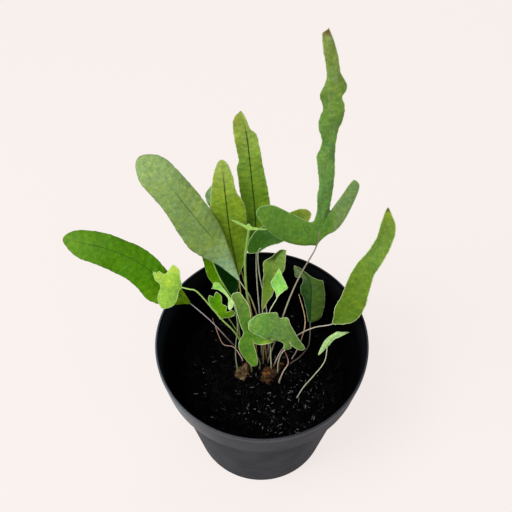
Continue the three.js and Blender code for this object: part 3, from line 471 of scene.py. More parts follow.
def travelled(path):
    """How far along a line of points each of them is."""
    return np.concatenate([[0], np.cumsum(np.linalg.norm(np.diff(path, axis=0), axis=1))])


def blend_four(p, q, r, s, f):
    """The Catmull-Rom blend between q and r, at share f."""
    return q + 0.5 * f * (r - p + f * (2 * p - 5 * q + 4 * r - s + f * (3 * (q - r) + s - p)))


class Curve:
    """A smooth curve through points in millimetres, read by its share of the length."""
    STEPS = 200
    NUDGE = 1e-4

    def __init__(self, points):
        knots = np.array(points, float)
        self.knots = np.vstack([2 * knots[0] - knots[1], knots, 2 * knots[-1] - knots[-2]])
        self.spans = len(points) - 1
        self.ticks = np.linspace(0, 1, self.STEPS + 1)
        self.travel = travelled(self.at(self.ticks))
        self.length = self.travel[-1]

    def at(self, ticks):
        reach = np.clip(ticks, 0, 1) * self.spans
        first = np.minimum(reach.astype(int), self.spans - 1)
        p, q, r, s = (self.knots[first + k] for k in range(4))
        return blend_four(p, q, r, s, (reach - first)[:, None])

    def tick(self, shares):
        return np.interp(np.asarray(shares, float) * self.length, self.travel, self.ticks)

    def point(self, shares):
        return self.at(self.tick(shares))

    def tangent(self, shares):
        ticks = self.tick(shares)
        return unit(self.at(ticks + self.NUDGE) - self.at(ticks - self.NUDGE))


def blade_axes(curve, face, shares):
    """The ways along, across and up from a blade at shares of its rib."""
    along = curve.tangent(shares)
    across = unit(np.cross(along, np.array(face, float)))
    return along, across, np.cross(across, along)


def read_margin(entries, tip, stations):
    """How far out from the rib, and how far ahead of its station, a margin is at each station."""
    lobed = isinstance(entries[0], tuple)
    if lobed:
        rows = [(0, 0, 0), *((*entry, 0)[:3] for entry in entries), (1, 0, 0)]
    else:
        rows = [(i / (len(entries) - 1), entry, 0) for i, entry in enumerate(entries)]
    table = np.array(rows, float)
    padded = np.vstack([table[:1], table, table[-1:]])
    first = np.clip(np.searchsorted(table[:, 0], stations, side="right") - 1, 0, len(rows) - 2)
    f = ((stations - table[first, 0]) / (table[first + 1, 0] - table[first, 0]))[:, None]
    found = blend_four(*(padded[first + k, 1:] for k in range(4)), f)
    out = np.maximum(found[:, 0], 0)
    if not lobed:
        out = out * np.sqrt(1 - np.clip((stations - 1 + tip) / tip, 0, 1) ** 2)
    return out, found[:, 1]


def wobble(travel, length, seed):
    """A gentle, irregular wave from -1 to 1 along a travel, whose humps are about a length apart."""
    draw = random.Random(seed)
    total = 0
    for pace in (0.61, 1.0, 1.73, 2.41):
        total = total + np.sin(2 * math.pi * (travel * pace / length + draw.random())) / 4
    return total


def cloud(places, size, seed):
    """Smooth noise from -1 to 1 at each place, whose lumps are about a size across."""
    shift = Vector((seed * 7.13, seed * 3.71, seed * 5.37))
    return np.array([noise.noise(Vector(place) / size + shift) for place in places.reshape(-1, 3)])


# Blades
class Blade:
    """The middle surface of one frond's blade."""
    START = 0.012
    CLOSE = 2401

    def __init__(self, frond, seed):
        self.frond = frond
        self.seed = seed
        self.curve = Curve(frond["rib"])
        dense = np.linspace(0, 1, self.CLOSE)
        lines = [self.places(dense, side) for side in (0, -1, 1)]
        steps = [np.linalg.norm(np.diff(line, axis=0), axis=1) for line in lines]
        travel = np.concatenate([[0], np.cumsum(np.max(steps, axis=0))])
        self.stations = np.interp(np.linspace(0, travel[-1], int(travel[-1] / ROW) + 1), travel, dense)

    def margin(self, stations, side):
        entries = self.frond["left" if side < 0 else "right"]
        out, ahead = read_margin(entries, self.frond.get("tip"), stations)
        start = np.sqrt(1 - (1 - np.clip(stations / self.START, 0, 1)) ** 2)
        return out * start, ahead * start

    def axes(self, stations):
        return blade_axes(self.curve, self.frond["face"], stations)

    def places(self, stations, side, share=1.0):
        """Places on the blade's base surface at each station, at a share of the way out to a margin."""
        along, across, up = self.axes(stations)
        out, ahead = self.margin(stations, side)
        height, waves, phase = self.frond["wave"]
        swell = np.sin(2 * math.pi * waves * stations + phase + side)
        lift = (self.frond["cup"] * share ** 2 + height * share * swell) * np.minimum(1, out / NARROW)
        shifts = across * (side * share * out)[:, None] + along * (share * ahead)[:, None]
        return self.curve.point(stations) + (shifts + up * lift[:, None]) * (side != 0)


def blade_columns(widest):
    """Shares of the way from the rib to the margin, closer together at both."""
    count = int(np.clip(widest / COLUMN, *COLUMN_LIMITS))
    even = np.linspace(0, 1, count + 1)
    return even - 0.06 * np.sin(2 * math.pi * even)


def distance_to_line(places, line):
    """The distance from each place to the nearest point of a line of points."""
    starts, steps = line[:-1], np.diff(line, axis=0)
    squares = np.maximum((steps ** 2).sum(1), 1e-12)
    nearest = np.full(len(places), np.inf)
    for start, step, square in zip(starts, steps, squares):
        share = np.clip((places - start) @ step / square, 0, 1)
        away = places - start - share[:, None] * step
        nearest = np.minimum(nearest, (away ** 2).sum(1))
    return np.sqrt(nearest)


def blade_grid(blade):
    """The waved middle surface as rows of points, what the leaf's finish reads at each, and the ways up."""
    stations = blade.stations
    shares = blade_columns(max(blade.margin(stations, side)[0].max() for side in (-1, 1)))
    sides = [(-1, share) for share in shares[:0:-1]] + [(0, 0.0)] + [(1, share) for share in shares[1:]]
    grid = np.stack([blade.places(stations, side, share) for side, share in sides], axis=1)
    signed = np.array([side * share for side, share in sides])[None, :]
    share = np.abs(signed)
    from_rib = grid - grid[:, len(shares) - 1][:, None]
    reach = np.linalg.norm(from_rib, axis=2)
    travel = (stations * blade.curve.length)[:, None] + 0 * share
    outline = np.vstack([grid[:, 0], grid[::-1, -1]])
    edge = distance_to_line(grid.reshape(-1, 3), outline).reshape(reach.shape)

    def margin_waves(length, seeds):
        waves = np.stack([wobble(travel[:, 0], length, blade.seed + seed) for seed in seeds], axis=1)
        return np.where(signed < 0, waves[:, :1], waves[:, 1:])

    up = blade.axes(stations)[2]
    groove = -GROOVE * np.exp(-(reach / 0.7) ** 2) * (1 - stations[:, None])
    between_veins = np.sin(2 * math.pi * (travel - VEIN_SLANT * reach) / VEIN_PITCH)
    pucker = PUCKER * between_veins * smooth_step(0, 2.5, edge)
    bumps = BUMPS * cloud(grid, 9, blade.seed).reshape(reach.shape) * smooth_step(0.5, 4, reach)
    crimp = CRIMP * margin_waves(11, (0, 1)) * share ** 3 * smooth_step(1, 5, reach)
    lift = (groove + pucker + bumps + crimp) * smooth_step(0, 0.06, 1 - stations)[:, None]
    scallop = SCALLOP * margin_waves(7, (2, 3)) * share ** 4 * smooth_step(1, 4, reach)
    grid = grid + up[:, None] * lift[:, :, None] + unit(from_rib) * scallop[:, :, None]
    facts = dict(
        station=stations[:, None] + 0 * share,
        side=signed + 0 * reach,
        rib_mm=reach,
        edge_mm=edge,
        along_mm=travel,
    )
    return grid, facts, up


def grid_normals(grid, up):
    """The way up from a grid of points, from its neighbours, or the blade's own where they coincide."""
    normals = np.cross(np.gradient(grid, axis=1), np.gradient(grid, axis=0))
    size = np.linalg.norm(normals, axis=2, keepdims=True)
    return np.where(size > 1e-6, normals / np.maximum(size, 1e-9), up[:, None])


def blade_mesh(blade):
    """The blade's two skins and their closing edge: points, faces, and facts for the finish."""
    grid, facts, up = blade_grid(blade)
    rows, columns = grid.shape[:2]
    half = EDGE_THICKNESS + (HALF_THICKNESS - EDGE_THICKNESS) * smooth_step(0, 1.6, facts["edge_mm"])
    half[0] = half[-1] = 0
    offset = grid_normals(grid, up) * half[:, :, None]
    points = np.vstack([(grid + offset).reshape(-1, 3), (grid - offset).reshape(-1, 3)])
    number = np.arange(rows * columns).reshape(rows, columns)
    below = number + rows * columns
    upper = [number[:-1, :-1], number[:-1, 1:], number[1:, 1:], number[1:, :-1]]
    lower = [corner + rows * columns for corner in upper[::-1]]
    left = [number[:-1, 0], number[1:, 0], below[1:, 0], below[:-1, 0]]
    right = [number[1:, -1], number[:-1, -1], below[:-1, -1], below[1:, -1]]
    faces = np.vstack([np.stack(corners, axis=-1).reshape(-1, 4) for corners in (upper, lower, left, right)])
    told = {key: np.tile(values.ravel(), 2) for key, values in facts.items()}
    told["upper"] = np.repeat([1.0, 0.0], rows * columns)
    return points, faces, told


# Tubes
def ring_faces(rings, sides):
    """Faces that join rings of points, and close both ends on the two points that follow the rings."""
    number = np.arange(rings * sides).reshape(rings, sides)
    after = np.roll(number, -1, axis=1)
    walls = np.stack([number[:-1], after[:-1], after[1:], number[1:]], axis=-1).reshape(-1, 4).tolist()
    first = [[rings * sides, after[0, i], number[0, i]] for i in range(sides)]
    last = [[rings * sides + 1, number[-1, i], after[-1, i]] for i in range(sides)]
    return walls + first + last


def shifted(faces, count):
    """Faces whose corner numbers are moved up by a count."""
    return [[corner + count for corner in face] for face in faces]


def tube_mesh(path, radii, sides=STALK_SIDES):
    """A closed tube with a radius at each point of its path: points, faces and the share of its length."""
    steps = unit(np.gradient(path, axis=0))
    aside = unit(np.cross(steps[0], [0.3, 0.9, 0.2]))
    angles = 2 * math.pi * np.arange(sides) / sides
    rings = []
    for place, step, radius in zip(path, steps, radii):
        aside = unit(aside - step * (aside @ step))
        ring = np.cos(angles)[:, None] * aside + np.sin(angles)[:, None] * np.cross(step, aside)
        rings.append(place + radius * ring)
    points = np.vstack([*rings, path[:1], path[-1:]])
    travel = travelled(path)
    share = np.concatenate([np.repeat(travel / travel[-1], sides), [0, 1]])
    return points, ring_faces(len(path), sides), share


def stalk_path(plant):
    """The stalk's line: straight down into its hole at the root, and on along the rib."""
    x, y, z = plant["stalk"][0]
    path = [(x, y, z - SUNK), *plant["stalk"]]
    if "rib" in plant:
        path.append(tuple(Curve(plant["rib"]).point([RIB_SHARE])[0]))
    curve = Curve(path)
    return curve.point(np.linspace(0, 1, int(curve.length / STALK_STEP) + 2))


def stalk_drop(radii):
    """How far below a blade's middle surface the stalk's middle lies, partly inside the blade."""
    return 0.4 * HALF_THICKNESS + 0.8 * radii


def stalk_mesh(plant, seed):
    """A stalk with a thicker foot and slight knots, which sinks below its blade and thins along the rib."""
    path = stalk_path(plant)
    travel = travelled(path)
    share = travel / travel[-1]
    radius = plant["radius"] * plant.get("slim", STALK_SLIM)
    swollen = 1 + 0.5 * np.exp(-travel / 5) + 0.09 * wobble(travel, 9, seed)
    radii = radius * swollen * (1 - 0.3 * share) * (1 + plant.get("flare", 0) * share ** 2)
    if "rib" not in plant:
        return tube_mesh(path, radii * (1 - 0.45 * share ** 6))
    rib = Curve(plant["rib"])
    shares = np.linspace(RIB_SHARE, RIB_END, int(rib.length / STALK_STEP) + 2)[1:]
    up = blade_axes(rib, plant["face"], shares)[2]
    thin = np.interp(shares, [RIB_SHARE, 0.3, 1], [0.62, 0.4, 0.12]) * radius
    under = rib.point(shares) - up * stalk_drop(thin)[:, None]
    rib_start = np.argmin(np.linalg.norm(path - rib.point([0])[0], axis=1))
    sunk = smooth_step(-5, 0, travel - travel[rib_start])
    radii = radii * (1 - 0.1 * sunk)
    path = path - up[0] * (stalk_drop(radii) * sunk)[:, None]
    return tube_mesh(np.vstack([path, under]), np.concatenate([radii, thin]))


# Objects
def link(name, data):
    made = bpy.data.objects.new(name, data)
    bpy.context.scene.collection.objects.link(made)
    return made


def make_object(name, points, faces, materials, facts=None, indices=None, smooth=True):
    """A mesh object in metres from points in millimetres, with its facts as attributes of its points."""
    mesh = bpy.data.meshes.new(name)
    mesh.from_pydata((np.asarray(points) * MM).tolist(), [], [list(map(int, face)) for face in faces])
    for material in materials:
        mesh.materials.append(material)
    for key, values in (facts or {}).items():
        mesh.attributes.new(key, "FLOAT", "POINT").data.foreach_set("value", np.asarray(values, np.float32))
    if indices is not None:
        mesh.polygons.foreach_set("material_index", np.asarray(indices, np.int32))
    mesh.polygons.foreach_set("use_smooth", [smooth] * len(mesh.polygons))
    return link(name, mesh)


def weld(piece, reach=0.02):
    """Joins points of a piece that coincide, and drops the faces that this leaves without an area."""
    shape = bmesh.new()
    shape.from_mesh(piece.data)
    bmesh.ops.remove_doubles(shape, verts=shape.verts, dist=reach * MM)
    bmesh.ops.dissolve_degenerate(shape, edges=shape.edges, dist=reach * MM / 4)
    bmesh.ops.recalc_face_normals(shape, faces=shape.faces)
    shape.to_mesh(piece.data)
    shape.free()


def changed_mesh(piece):
    """A new mesh that has the shape of a piece with its modifiers."""
    return bpy.data.meshes.new_from_object(piece.evaluated_get(bpy.context.evaluated_depsgraph_get()))


def settle(piece, slot, *nodes):
    """Says what a finished piece rides on and stands for; its slot is not used."""
    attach(piece, "root")
    if nodes:
        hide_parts(*nodes)


# Finishes
class Finish:
    """A material in the making: its nodes, its shader, and the colour that it has so far."""

    def __init__(self, name):
        self.material = bpy.data.materials.new(name)
        self.material.use_nodes = True
        self.tree = self.material.node_tree
        self.shader = self.tree.nodes["Principled BSDF"]
        self.colour = None

    def plug(self, socket, value):
        """Links a socket to another one, or sets its value."""
        if isinstance(value, bpy.types.NodeSocket):
            self.tree.links.new(value, socket)
        elif socket.type == "RGBA":
            socket.default_value = (*value, 1)
        else:
            socket.default_value = value

    def fill(self, node, inputs):
        for key, value in inputs.items():
            self.plug(node.inputs[key], value)
        return node

    def add(self, kind, inputs, **settings):
        made = self.tree.nodes.new("ShaderNode" + kind)
        for key, value in settings.items():
            setattr(made, key, value)
        return self.fill(made, inputs)

    def calc(self, operation, first, second=0.0):
        return self.add("Math", {0: first, 1: second}, operation=operation).outputs[0]

    def times(self, first, *others):
        for other in others:
            first = self.calc("MULTIPLY", first, other)
        return first

    def rest(self, share):
        """What a share leaves of 1."""
        return self.calc("SUBTRACT", 1.0, share)

    def fade(self, value, low, high):
        """0 where value is low and 1 where it is high, with a smooth rise between."""
        limits = {"Value": value, "From Min": low, "From Max": high}
        return self.add("MapRange", limits, interpolation_type="SMOOTHSTEP").outputs["Result"]

    def fact(self, name):
        return self.add("Attribute", {}, attribute_name=name).outputs["Fac"]

    def joined(self, x, y):
        return self.add("CombineXYZ", {"X": x, "Y": y}).outputs[0]

    def grain(self, size_mm, detail=3.0, vector=None):
        """Noise from 0 to 1 whose lumps are about that many millimetres across."""
        where = vector or self.add("TexCoord", {}).outputs["Object"]
        scale = 1 / (size_mm if vector else size_mm * MM)
        return self.add("TexNoise", {"Vector": where, "Scale": scale, "Detail": detail}).outputs["Fac"]

    def lumps(self, size_mm, detail, low, high, vector=None):
        """1 on lumps about that many millimetres across, and 0 between them, with soft edges."""
        return self.fade(self.grain(size_mm, detail, vector), low, high)

    def ramp(self, value, colours):
        """Starts the colour as a ramp through evenly spaced colours."""
        made = self.add("ValToRGB", {"Fac": value})
        stops = made.color_ramp.elements
        for i, colour in enumerate(colours):
            place = i / (len(colours) - 1)
            stop = stops[i] if i < 2 else stops.new(place)
            stop.position = place
            stop.color = (*colour, 1)
        self.colour = made.outputs["Color"]

    def mix(self, share, first, second, blend_type="MIX"):
        ends = {0: share, 6: first, 7: second}
        return self.add("Mix", ends, data_type="RGBA", blend_type=blend_type).outputs[2]

    def cover(self, colour, *shares):
        """Lays a colour over the one so far, by the product of the shares."""
        self.colour = self.mix(self.times(*shares), self.colour, colour)

    def shade(self, colour, *shares):
        """Multiplies the colour so far by another, by the product of the shares."""
        self.colour = self.mix(self.times(*shares), self.colour, colour, "MULTIPLY")

    def close(self, roughness, specular, height, depth_mm):
        """Plugs the colour, the gloss and bumps of a height into the shader, and gives the material."""
        relief = self.add("Bump", {"Height": height, "Distance": depth_mm * MM, "Strength": 1.0})
        self.fill(self.shader, {
            "Base Color": self.colour, "Roughness": roughness, "Specular IOR Level": specular,
            "Normal": relief.outputs["Normal"],
        })
        return self.material


# Leaves and stalks
# A leaf's fine mottling: size in millimetres, detail, where the noise starts and is full, strength, and shade
MOTTLING = [
    (3.4, 3, 0.48, 0.6, 0.5, (0.84, 0.95, 1.4)),
    (2.2, 4, 0.42, 0.6, 0.75, (0.76, 0.82, 0.72)),
    (1.3, 3, 0.48, 0.64, 0.7, (1.32, 1.26, 1.3)),
]
STREAK = (0.30, 0.42, 0.26)
DARK_LINE = (0.012, 0.035, 0.004)
PALE_LINE = (0.36, 0.62, 0.15)
UNDERSIDE = (0.30, 0.40, 0.26)
PALE_RIM = (0.56, 0.66, 0.33)


def paint_leaf_body(finish, facts, look):
    """The green from base to tip, mottled, and the colours of a right half, right lobe or left end."""
    station, side, rib = facts["station"], facts["side"], facts["rib_mm"]
    finish.ramp(station, [linear(stop) for stop in look["blade"]])
    if "other" in look:
        finish.cover(linear(look["other"]), finish.fade(side, -0.03, 0.03))
    if "right_lobe" in look:
        finish.cover(linear(look["right_lobe"]), finish.fade(finish.times(side, rib), 3, 7))
    finish.shade((0.8, 0.88, 1.0), finish.lumps(13, 2, 0.4, 0.62), 0.6)
    if "left_end" in look:
        end, left = finish.fade(station, 0.68, 0.8), finish.fade(side, -0.05, -0.3)
        finish.cover(linear(look["left_end"]), end, left, finish.fade(rib, 0.6, 2.2))
    finish.shade((1.32, 1.18, 0.85), finish.lumps(5, 3, 0.5, 0.68), look.get("patches", 0.55))
    for size, detail, low, high, strength, shade in MOTTLING:
        finish.shade(shade, finish.lumps(size, detail, low, high), strength)


def paint_leaf_veins(finish, facts, look):
    """Pale streaks beside the midrib, and slanting and netted veins. Gives how strong the veins are."""
    rib, along = facts["rib_mm"], facts["along_mm"]
    across = finish.times(facts["side"], rib)
    if "streaks" in look:
        stretched = finish.joined(across, finish.times(along, 0.09))
        streaks = finish.lumps(1.1, 2, 0.52, 0.66, stretched)
        finish.cover(STREAK, streaks, finish.rest(finish.fade(rib, 1.5, 4.5)), look["streaks"])
    inputs = {"Vector": finish.joined(across, along), "Scale": 1 / NET_SIZE}
    cells = finish.add("TexVoronoi", inputs, feature="DISTANCE_TO_EDGE").outputs["Distance"]
    net = finish.rest(finish.fade(cells, 0.02, 0.12))
    slant = finish.calc("SUBTRACT", along, finish.times(rib, VEIN_SLANT))
    slant = finish.calc("ADD", slant, finish.times(finish.grain(8, 2), 9))
    turn = finish.calc("SINE", finish.times(slant, 2 * math.pi / VEIN_PITCH))
    strength = look.get("net", 1)
    finish.shade((1.35, 1.25, 1.1), finish.fade(turn, -0.6, 0.8), 0.11 * strength)
    veins = finish.calc("MAXIMUM", finish.times(net, 0.6), finish.fade(turn, 0.86, 1.0))
    finish.shade((1.4, 1.3, 1.15), veins, 0.25 * strength)
    return veins


def paint_leaf_lines(finish, facts, look):
    """The midrib, dark above or pale all through, the greyer underside, the tip and the margin."""
    station, upper = facts["station"], facts["upper"]
    first, last = look.get("spine", (-0.2, 0.97))
    shown = finish.calc(
        "SUBTRACT", finish.fade(station, first, first + 0.15), finish.fade(station, last - 0.2, last))
    line = finish.times(finish.rest(finish.fade(facts["rib_mm"], 0.15, 0.55)), shown)
    if "rib" in look:
        finish.cover(DARK_LINE, line, upper, look["rib"])
    if "pale_line" in look:
        finish.cover(PALE_LINE, line, look["pale_line"])
    finish.cover(UNDERSIDE, finish.rest(upper), look.get("under", 0.45))
    if "tip" in look:
        finish.cover(linear(look["tip"], 1), finish.fade(station, 0.955, 0.99))
    rim = finish.rest(finish.fade(facts["edge_mm"], 0.1, 0.45))
    finish.cover(look.get("rim_colour", PALE_RIM), rim, look["rim"] * 0.85)


def leaf_finish(name, look):
    """A satin leaf."""
    finish = Finish("leaf_" + name)
    facts = {key: finish.fact(key) for key in ("station", "side", "rib_mm", "edge_mm", "along_mm", "upper")}
    paint_leaf_body(finish, facts, look)
    fine = finish.grain(0.8)
    finish.shade((0.75, 0.8, 0.7), fine, 0.3)
    veins = paint_leaf_veins(finish, facts, look)
    paint_leaf_lines(finish, facts, look)
    height = finish.calc("ADD", finish.times(veins, -0.6), finish.times(fine, 0.5))
    rough = finish.calc("ADD", 0.46, finish.times(fine, 0.14))
    return finish.close(rough, 0.07, height, 0.12)


def stalk_finish(name, colours, blade_share):
    """A wiry stalk whose colour changes from its foot to its blade, with a dark scaly foot and blotches."""
    finish = Finish("stalk_" + name)
    reach = finish.calc("DIVIDE", finish.fact("station"), blade_share)
    finish.ramp(reach, [linear(stop) for stop in colours])
    scaly = finish.rest(finish.fade(reach, 0.02, 0.16))
    finish.cover((0.05, 0.028, 0.016), scaly, 0.7 if blade_share < 1 else 0.15)
    finish.shade((0.7, 0.62, 0.55), finish.lumps(2.5, 3, 0.4, 0.7), 0.45)
    return finish.close(0.5, 0.35, finish.grain(0.5), 0.1)


def make_frond(frond, seed):
    """One frond: its blade and its stalk in one piece."""
    name = frond["name"]
    look = LOOKS[name]
    blade_points, blade_faces, facts = blade_mesh(Blade(frond, seed))
    stalk_points, stalk_faces, share = stalk_mesh(frond, seed)
    stalk_length = Curve(frond["stalk"]).length + SUNK
    blade_share = stalk_length / (stalk_length + RIB_END * Curve(frond["rib"]).length)
    count = len(blade_points)
    faces = blade_faces.tolist() + shifted(stalk_faces, count)
    told = {key: np.concatenate([values, np.zeros(len(share))]) for key, values in facts.items()}
    told["station"][count:] = share
    indices = [0] * len(blade_faces) + [1] * len(stalk_faces)
    materials = [leaf_finish(name, look), stalk_finish(name, look["stalk"], blade_share)]
    points = np.vstack([blade_points, stalk_points])
    piece = make_object("fern_" + name, points, faces, materials, told, indices)
    weld(piece)
    settle(piece, frond["slot"], "frond_" + name)


def make_straw(straw, seed):
    """A bare stalk in one piece."""
    name = straw["name"]
    points, faces, share = stalk_mesh(straw, seed)
    finish = stalk_finish("bare_" + name, STRAW_LOOKS[name], 1.0)
    piece = make_object("bare_stalk_" + name, points, faces, [finish], dict(station=share))
    settle(piece, "dry_stalk", "straw_" + name)


# The pot: where its skirt starts, in millimetres, its sides, and its flow marks to the metre
SKIRT_FOOT = POT["height"] - POT["skirt"]
POT_SIDES = 180
FLOW_LINES = 700.0


def arc(centre, radius, start, end, steps=6):
    """Points on an arc in the profile's plane, from one angle to another in degrees."""
    angles = np.radians(np.linspace(start, end, steps))
    return [(centre[0] + radius * math.cos(a), centre[1] + radius * math.sin(a)) for a in angles]


def pot_profile():
    """The pot's section as (radius, height) in millimetres, from the foot's middle round to the floor's."""
    wall, floor, foot, rim, height = (POT[key] for key in ("wall", "floor", "foot", "rim", "height"))
    body, skirt = POT["body_top"], POT["skirt_bottom"]
    lip, step, foot_round, floor_round, crease = 0.65, 0.5, 1.2, 0.8, 0.35
    lip_foot = height - 3.4
    ledge = SKIRT_FOOT + wall
    outside = [(0, 0), (20, 0), (36, 0)]
    outside += arc((foot - foot_round, foot_round), foot_round, -90, -8)
    outside += [(body - crease, SKIRT_FOOT - 2.6)]
    outside += arc((body + crease, SKIRT_FOOT - crease), crease, 180, 90, 4)
    outside += arc((skirt - step, SKIRT_FOOT + step), step, -90, 0)
    outside += [(rim, lip_foot)]
    outside += arc((rim - lip, height - lip), lip, 0, 90)
    inside = arc((rim - wall + lip, height - lip), lip, 90, 180)
    inside += [(rim - wall - 0.05, lip_foot)]
    inside += arc((skirt - wall - step, ledge + step), step, 0, -90)
    inside += arc((body - wall + 0.4, ledge - 0.4), 0.4, 90, 180, 4)
    inside += arc((foot - wall - floor_round, floor + floor_round), floor_round, 0, -90)
    return outside + inside + [(20, floor), (0, floor)]


def turned_mesh(profile, sides):
    """Turns a profile that starts and ends on the axis into points and faces."""
    middle = np.array(profile[1:-1], float)
    angles = 2 * math.pi * np.arange(sides) / sides
    rings = np.stack([
        np.outer(middle[:, 0], np.cos(angles)),
        np.outer(middle[:, 0], np.sin(angles)),
        np.repeat(middle[:, 1:], sides, axis=1),
    ], axis=-1)
    points = np.vstack([rings.reshape(-1, 3), [(0, 0, profile[0][1]), (0, 0, profile[-1][1])]])
    return points, ring_faces(len(middle), sides)


def bore_drain_holes(pot):
    """Cuts the drain holes through the pot's floor."""
    shape = bmesh.new()
    radius = DRAIN["radius"] * MM
    for i in range(DRAIN["count"]):
        angle = 2 * math.pi * i / DRAIN["count"]
        place = (DRAIN["ring"] * MM * math.cos(angle), DRAIN["ring"] * MM * math.sin(angle), 0)
        bmesh.ops.create_cone(
            shape, cap_ends=True, segments=48, radius1=radius, radius2=radius, depth=8 * POT["floor"] * MM,
            matrix=Matrix.Translation(place),
        )
    drills = link("drills", bpy.data.meshes.new("drills"))
    shape.to_mesh(drills.data)
    shape.free()
    cut = pot.modifiers.new("holes", "BOOLEAN")
    cut.operation, cut.solver, cut.object = "DIFFERENCE", "EXACT", drills
    bored = changed_mesh(pot)
    pot.modifiers.remove(cut)
    pot.data = bored
    bpy.data.objects.remove(drills)


def pot_facts(points):
    """Where the pot's outside is, how glossy it is at each height and side, and where a cool sheen is painted
    on its left skirt.
    """
    away, height = np.hypot(points[:, 0], points[:, 1]), points[:, 2]
    rightward = points[:, 0] / np.maximum(away, 1)
    body = POT["foot"] + (POT["body_top"] - POT["foot"]) * height / SKIRT_FOOT
    skirt = POT["skirt_bottom"] + (POT["rim"] - POT["skirt_bottom"]) * (height - SKIRT_FOOT) / POT["skirt"]
    shell = np.where(height < SKIRT_FOOT + 0.2, body, skirt)
    outside = smooth_step(-POT["wall"], -0.5, away - shell)
    outside[height < POT["wall"] / 2] = 1
    levels = [0, SKIRT_FOOT - 1, SKIRT_FOOT + 1, POT["height"] - 2.5, POT["height"] - 0.8]
    gloss = np.interp(height, levels, [0.001, 0.003, 0.012, 0.02, 0.2])
    gloss = gloss * (1 - 0.6 * smooth_step(-0.2, 0.8, rightward))
    on_skirt = height > SKIRT_FOOT
    gloss = (gloss + 0.2 * smooth_step(0.3, 0.9, -rightward) * on_skirt) * outside
    # The last mask marks where a cool sheen is painted: the left of the skirt, standing in for a cool light's
    # reflection.
    return dict(outside=outside, gloss=gloss, painted_cool_sheen=smooth_step(0.45, 1.0, -rightward) * on_skirt)


def pot_finish():
    """Dark moulded plastic with fine flow marks and a little dust, a painted cool sheen on the left of its
    skirt, and painted black shade inside.
    """
    finish = Finish("pot_plastic")
    where = finish.add("TexCoord", {}).outputs["Object"]
    streaks = finish.add("Mapping", {"Vector": where, "Scale": (1, 1, 0.08)}).outputs[0]
    flow = finish.add("TexNoise", {"Vector": streaks, "Scale": FLOW_LINES, "Detail": 4.0}).outputs["Fac"]
    dust = finish.lumps(0.6, 4, 0.62, 0.74)
    finish.colour = finish.mix(finish.lumps(16, 4, 0.35, 0.65), (0.030, 0.032, 0.038), (0.043, 0.043, 0.050))
    finish.cover((0.23, 0.24, 0.25), dust, 0.08)
    finish.shade((1.3, 1.32, 1.36), finish.fade(flow, 0.45, 0.62), 0.5)
    # Painted sheen: a cool bluish tint over the left of the skirt, for the reflection of a cool light.
    finish.cover((0.060, 0.080, 0.098), finish.fact("painted_cool_sheen"))
    # Painted shade: the inside is near black, far darker than the same plastic outside.
    finish.cover((0.0012, 0.0012, 0.0016), finish.rest(finish.fact("outside")))
    rough = finish.calc("ADD", 0.3, finish.times(flow, 0.16))
    rough = finish.calc("ADD", rough, finish.times(dust, 0.2))
    height = finish.calc("ADD", finish.times(flow, 0.5), finish.times(finish.grain(0.35), 0.4))
    return finish.close(rough, finish.fact("gloss"), height, 0.05)


def make_pot():
    points, faces = turned_mesh(pot_profile(), POT_SIDES)
    pot = make_object("pot_shell", points, faces, [pot_finish()], pot_facts(points))
    weld(pot, 0.001)
    bore_drain_holes(pot)
    settle(pot, "pot_plastic", "pot")


# The soil
def soil_height(x, y):
    """The height of the lumpy soil, by the solid's formula."""
    lumps = np.sin(0.31 * x + 1.3) * np.cos(0.27 * y) + 0.6 * np.sin(0.53 * y - 0.4 * x)
    return SOIL["level"] + SOIL["lump"] * lumps


def inner_radius(z):
    rise = (z - POT["floor"]) / (SKIRT_FOOT - POT["floor"])
    return POT["foot"] + (POT["body_top"] - POT["foot"]) * rise - POT["wall"]


def soil_finish():
    finish = Finish("soil_crumb")
    clods = finish.grain(3.5, 5)
    dark, light = (0.0005, 0.0005, 0.0006), (0.0018, 0.0014, 0.0014)
    finish.colour = finish.mix(finish.fade(clods, 0.4, 0.7), dark, light)
    return finish.close(0.9, 0.03, finish.calc("ADD", clods, finish.grain(0.9, 4)), 0.8)


def make_soil():
    """A plug of soil that fills the pot, with a top of fine crumbs."""
    sides, rings, gap, shoulder = 200, 64, 0.25, 3
    bottom, top = POT["floor"] + gap, SOIL["level"]
    reach = inner_radius(top) - gap
    profile = [(0, bottom), (inner_radius(bottom) - 1, bottom), (reach, top - shoulder)]
    profile += [(reach * (1 - ring / rings), top) for ring in range(rings)] + [(0, top)]
    points, faces = turned_mesh(profile, sides)
    high = points[:, 2] > top - 1
    level = points[high] * [1, 1, 0]
    crumbs = cloud(level, 2.6, 3) * 1.1 + cloud(level, 7, 5) * 1.2
    points[high, 2] = soil_height(level[:, 0], level[:, 1]) - 0.3 + crumbs
    soil = make_object("soil_plug", points, faces, [soil_finish()])
    weld(soil, 0.001)
    settle(soil, "soil", "soil")


def ball(detail):
    """The points and faces of a ball of radius 1."""
    shape = bmesh.new()
    bmesh.ops.create_icosphere(shape, subdivisions=detail, radius=1)
    points = np.array([vert.co for vert in shape.verts])
    faces = [[vert.index for vert in face.verts] for face in shape.faces]
    shape.free()
    return points, faces


def random_turn(draw, tilt):
    """A rotation about +Z by any angle, and away from level by up to tilt radians."""
    spin = Matrix.Rotation(draw.uniform(0, 2 * math.pi), 3, "Z")
    lean = Matrix.Rotation(draw.uniform(-tilt, tilt), 3, "X")
    return np.array(spin @ lean @ Matrix.Rotation(draw.uniform(-tilt, tilt), 3, "Y"))


def random_spot(draw, reach):
    angle, away = draw.uniform(0, 2 * math.pi), reach * math.sqrt(draw.random())
    return away * math.cos(angle), away * math.sin(angle)


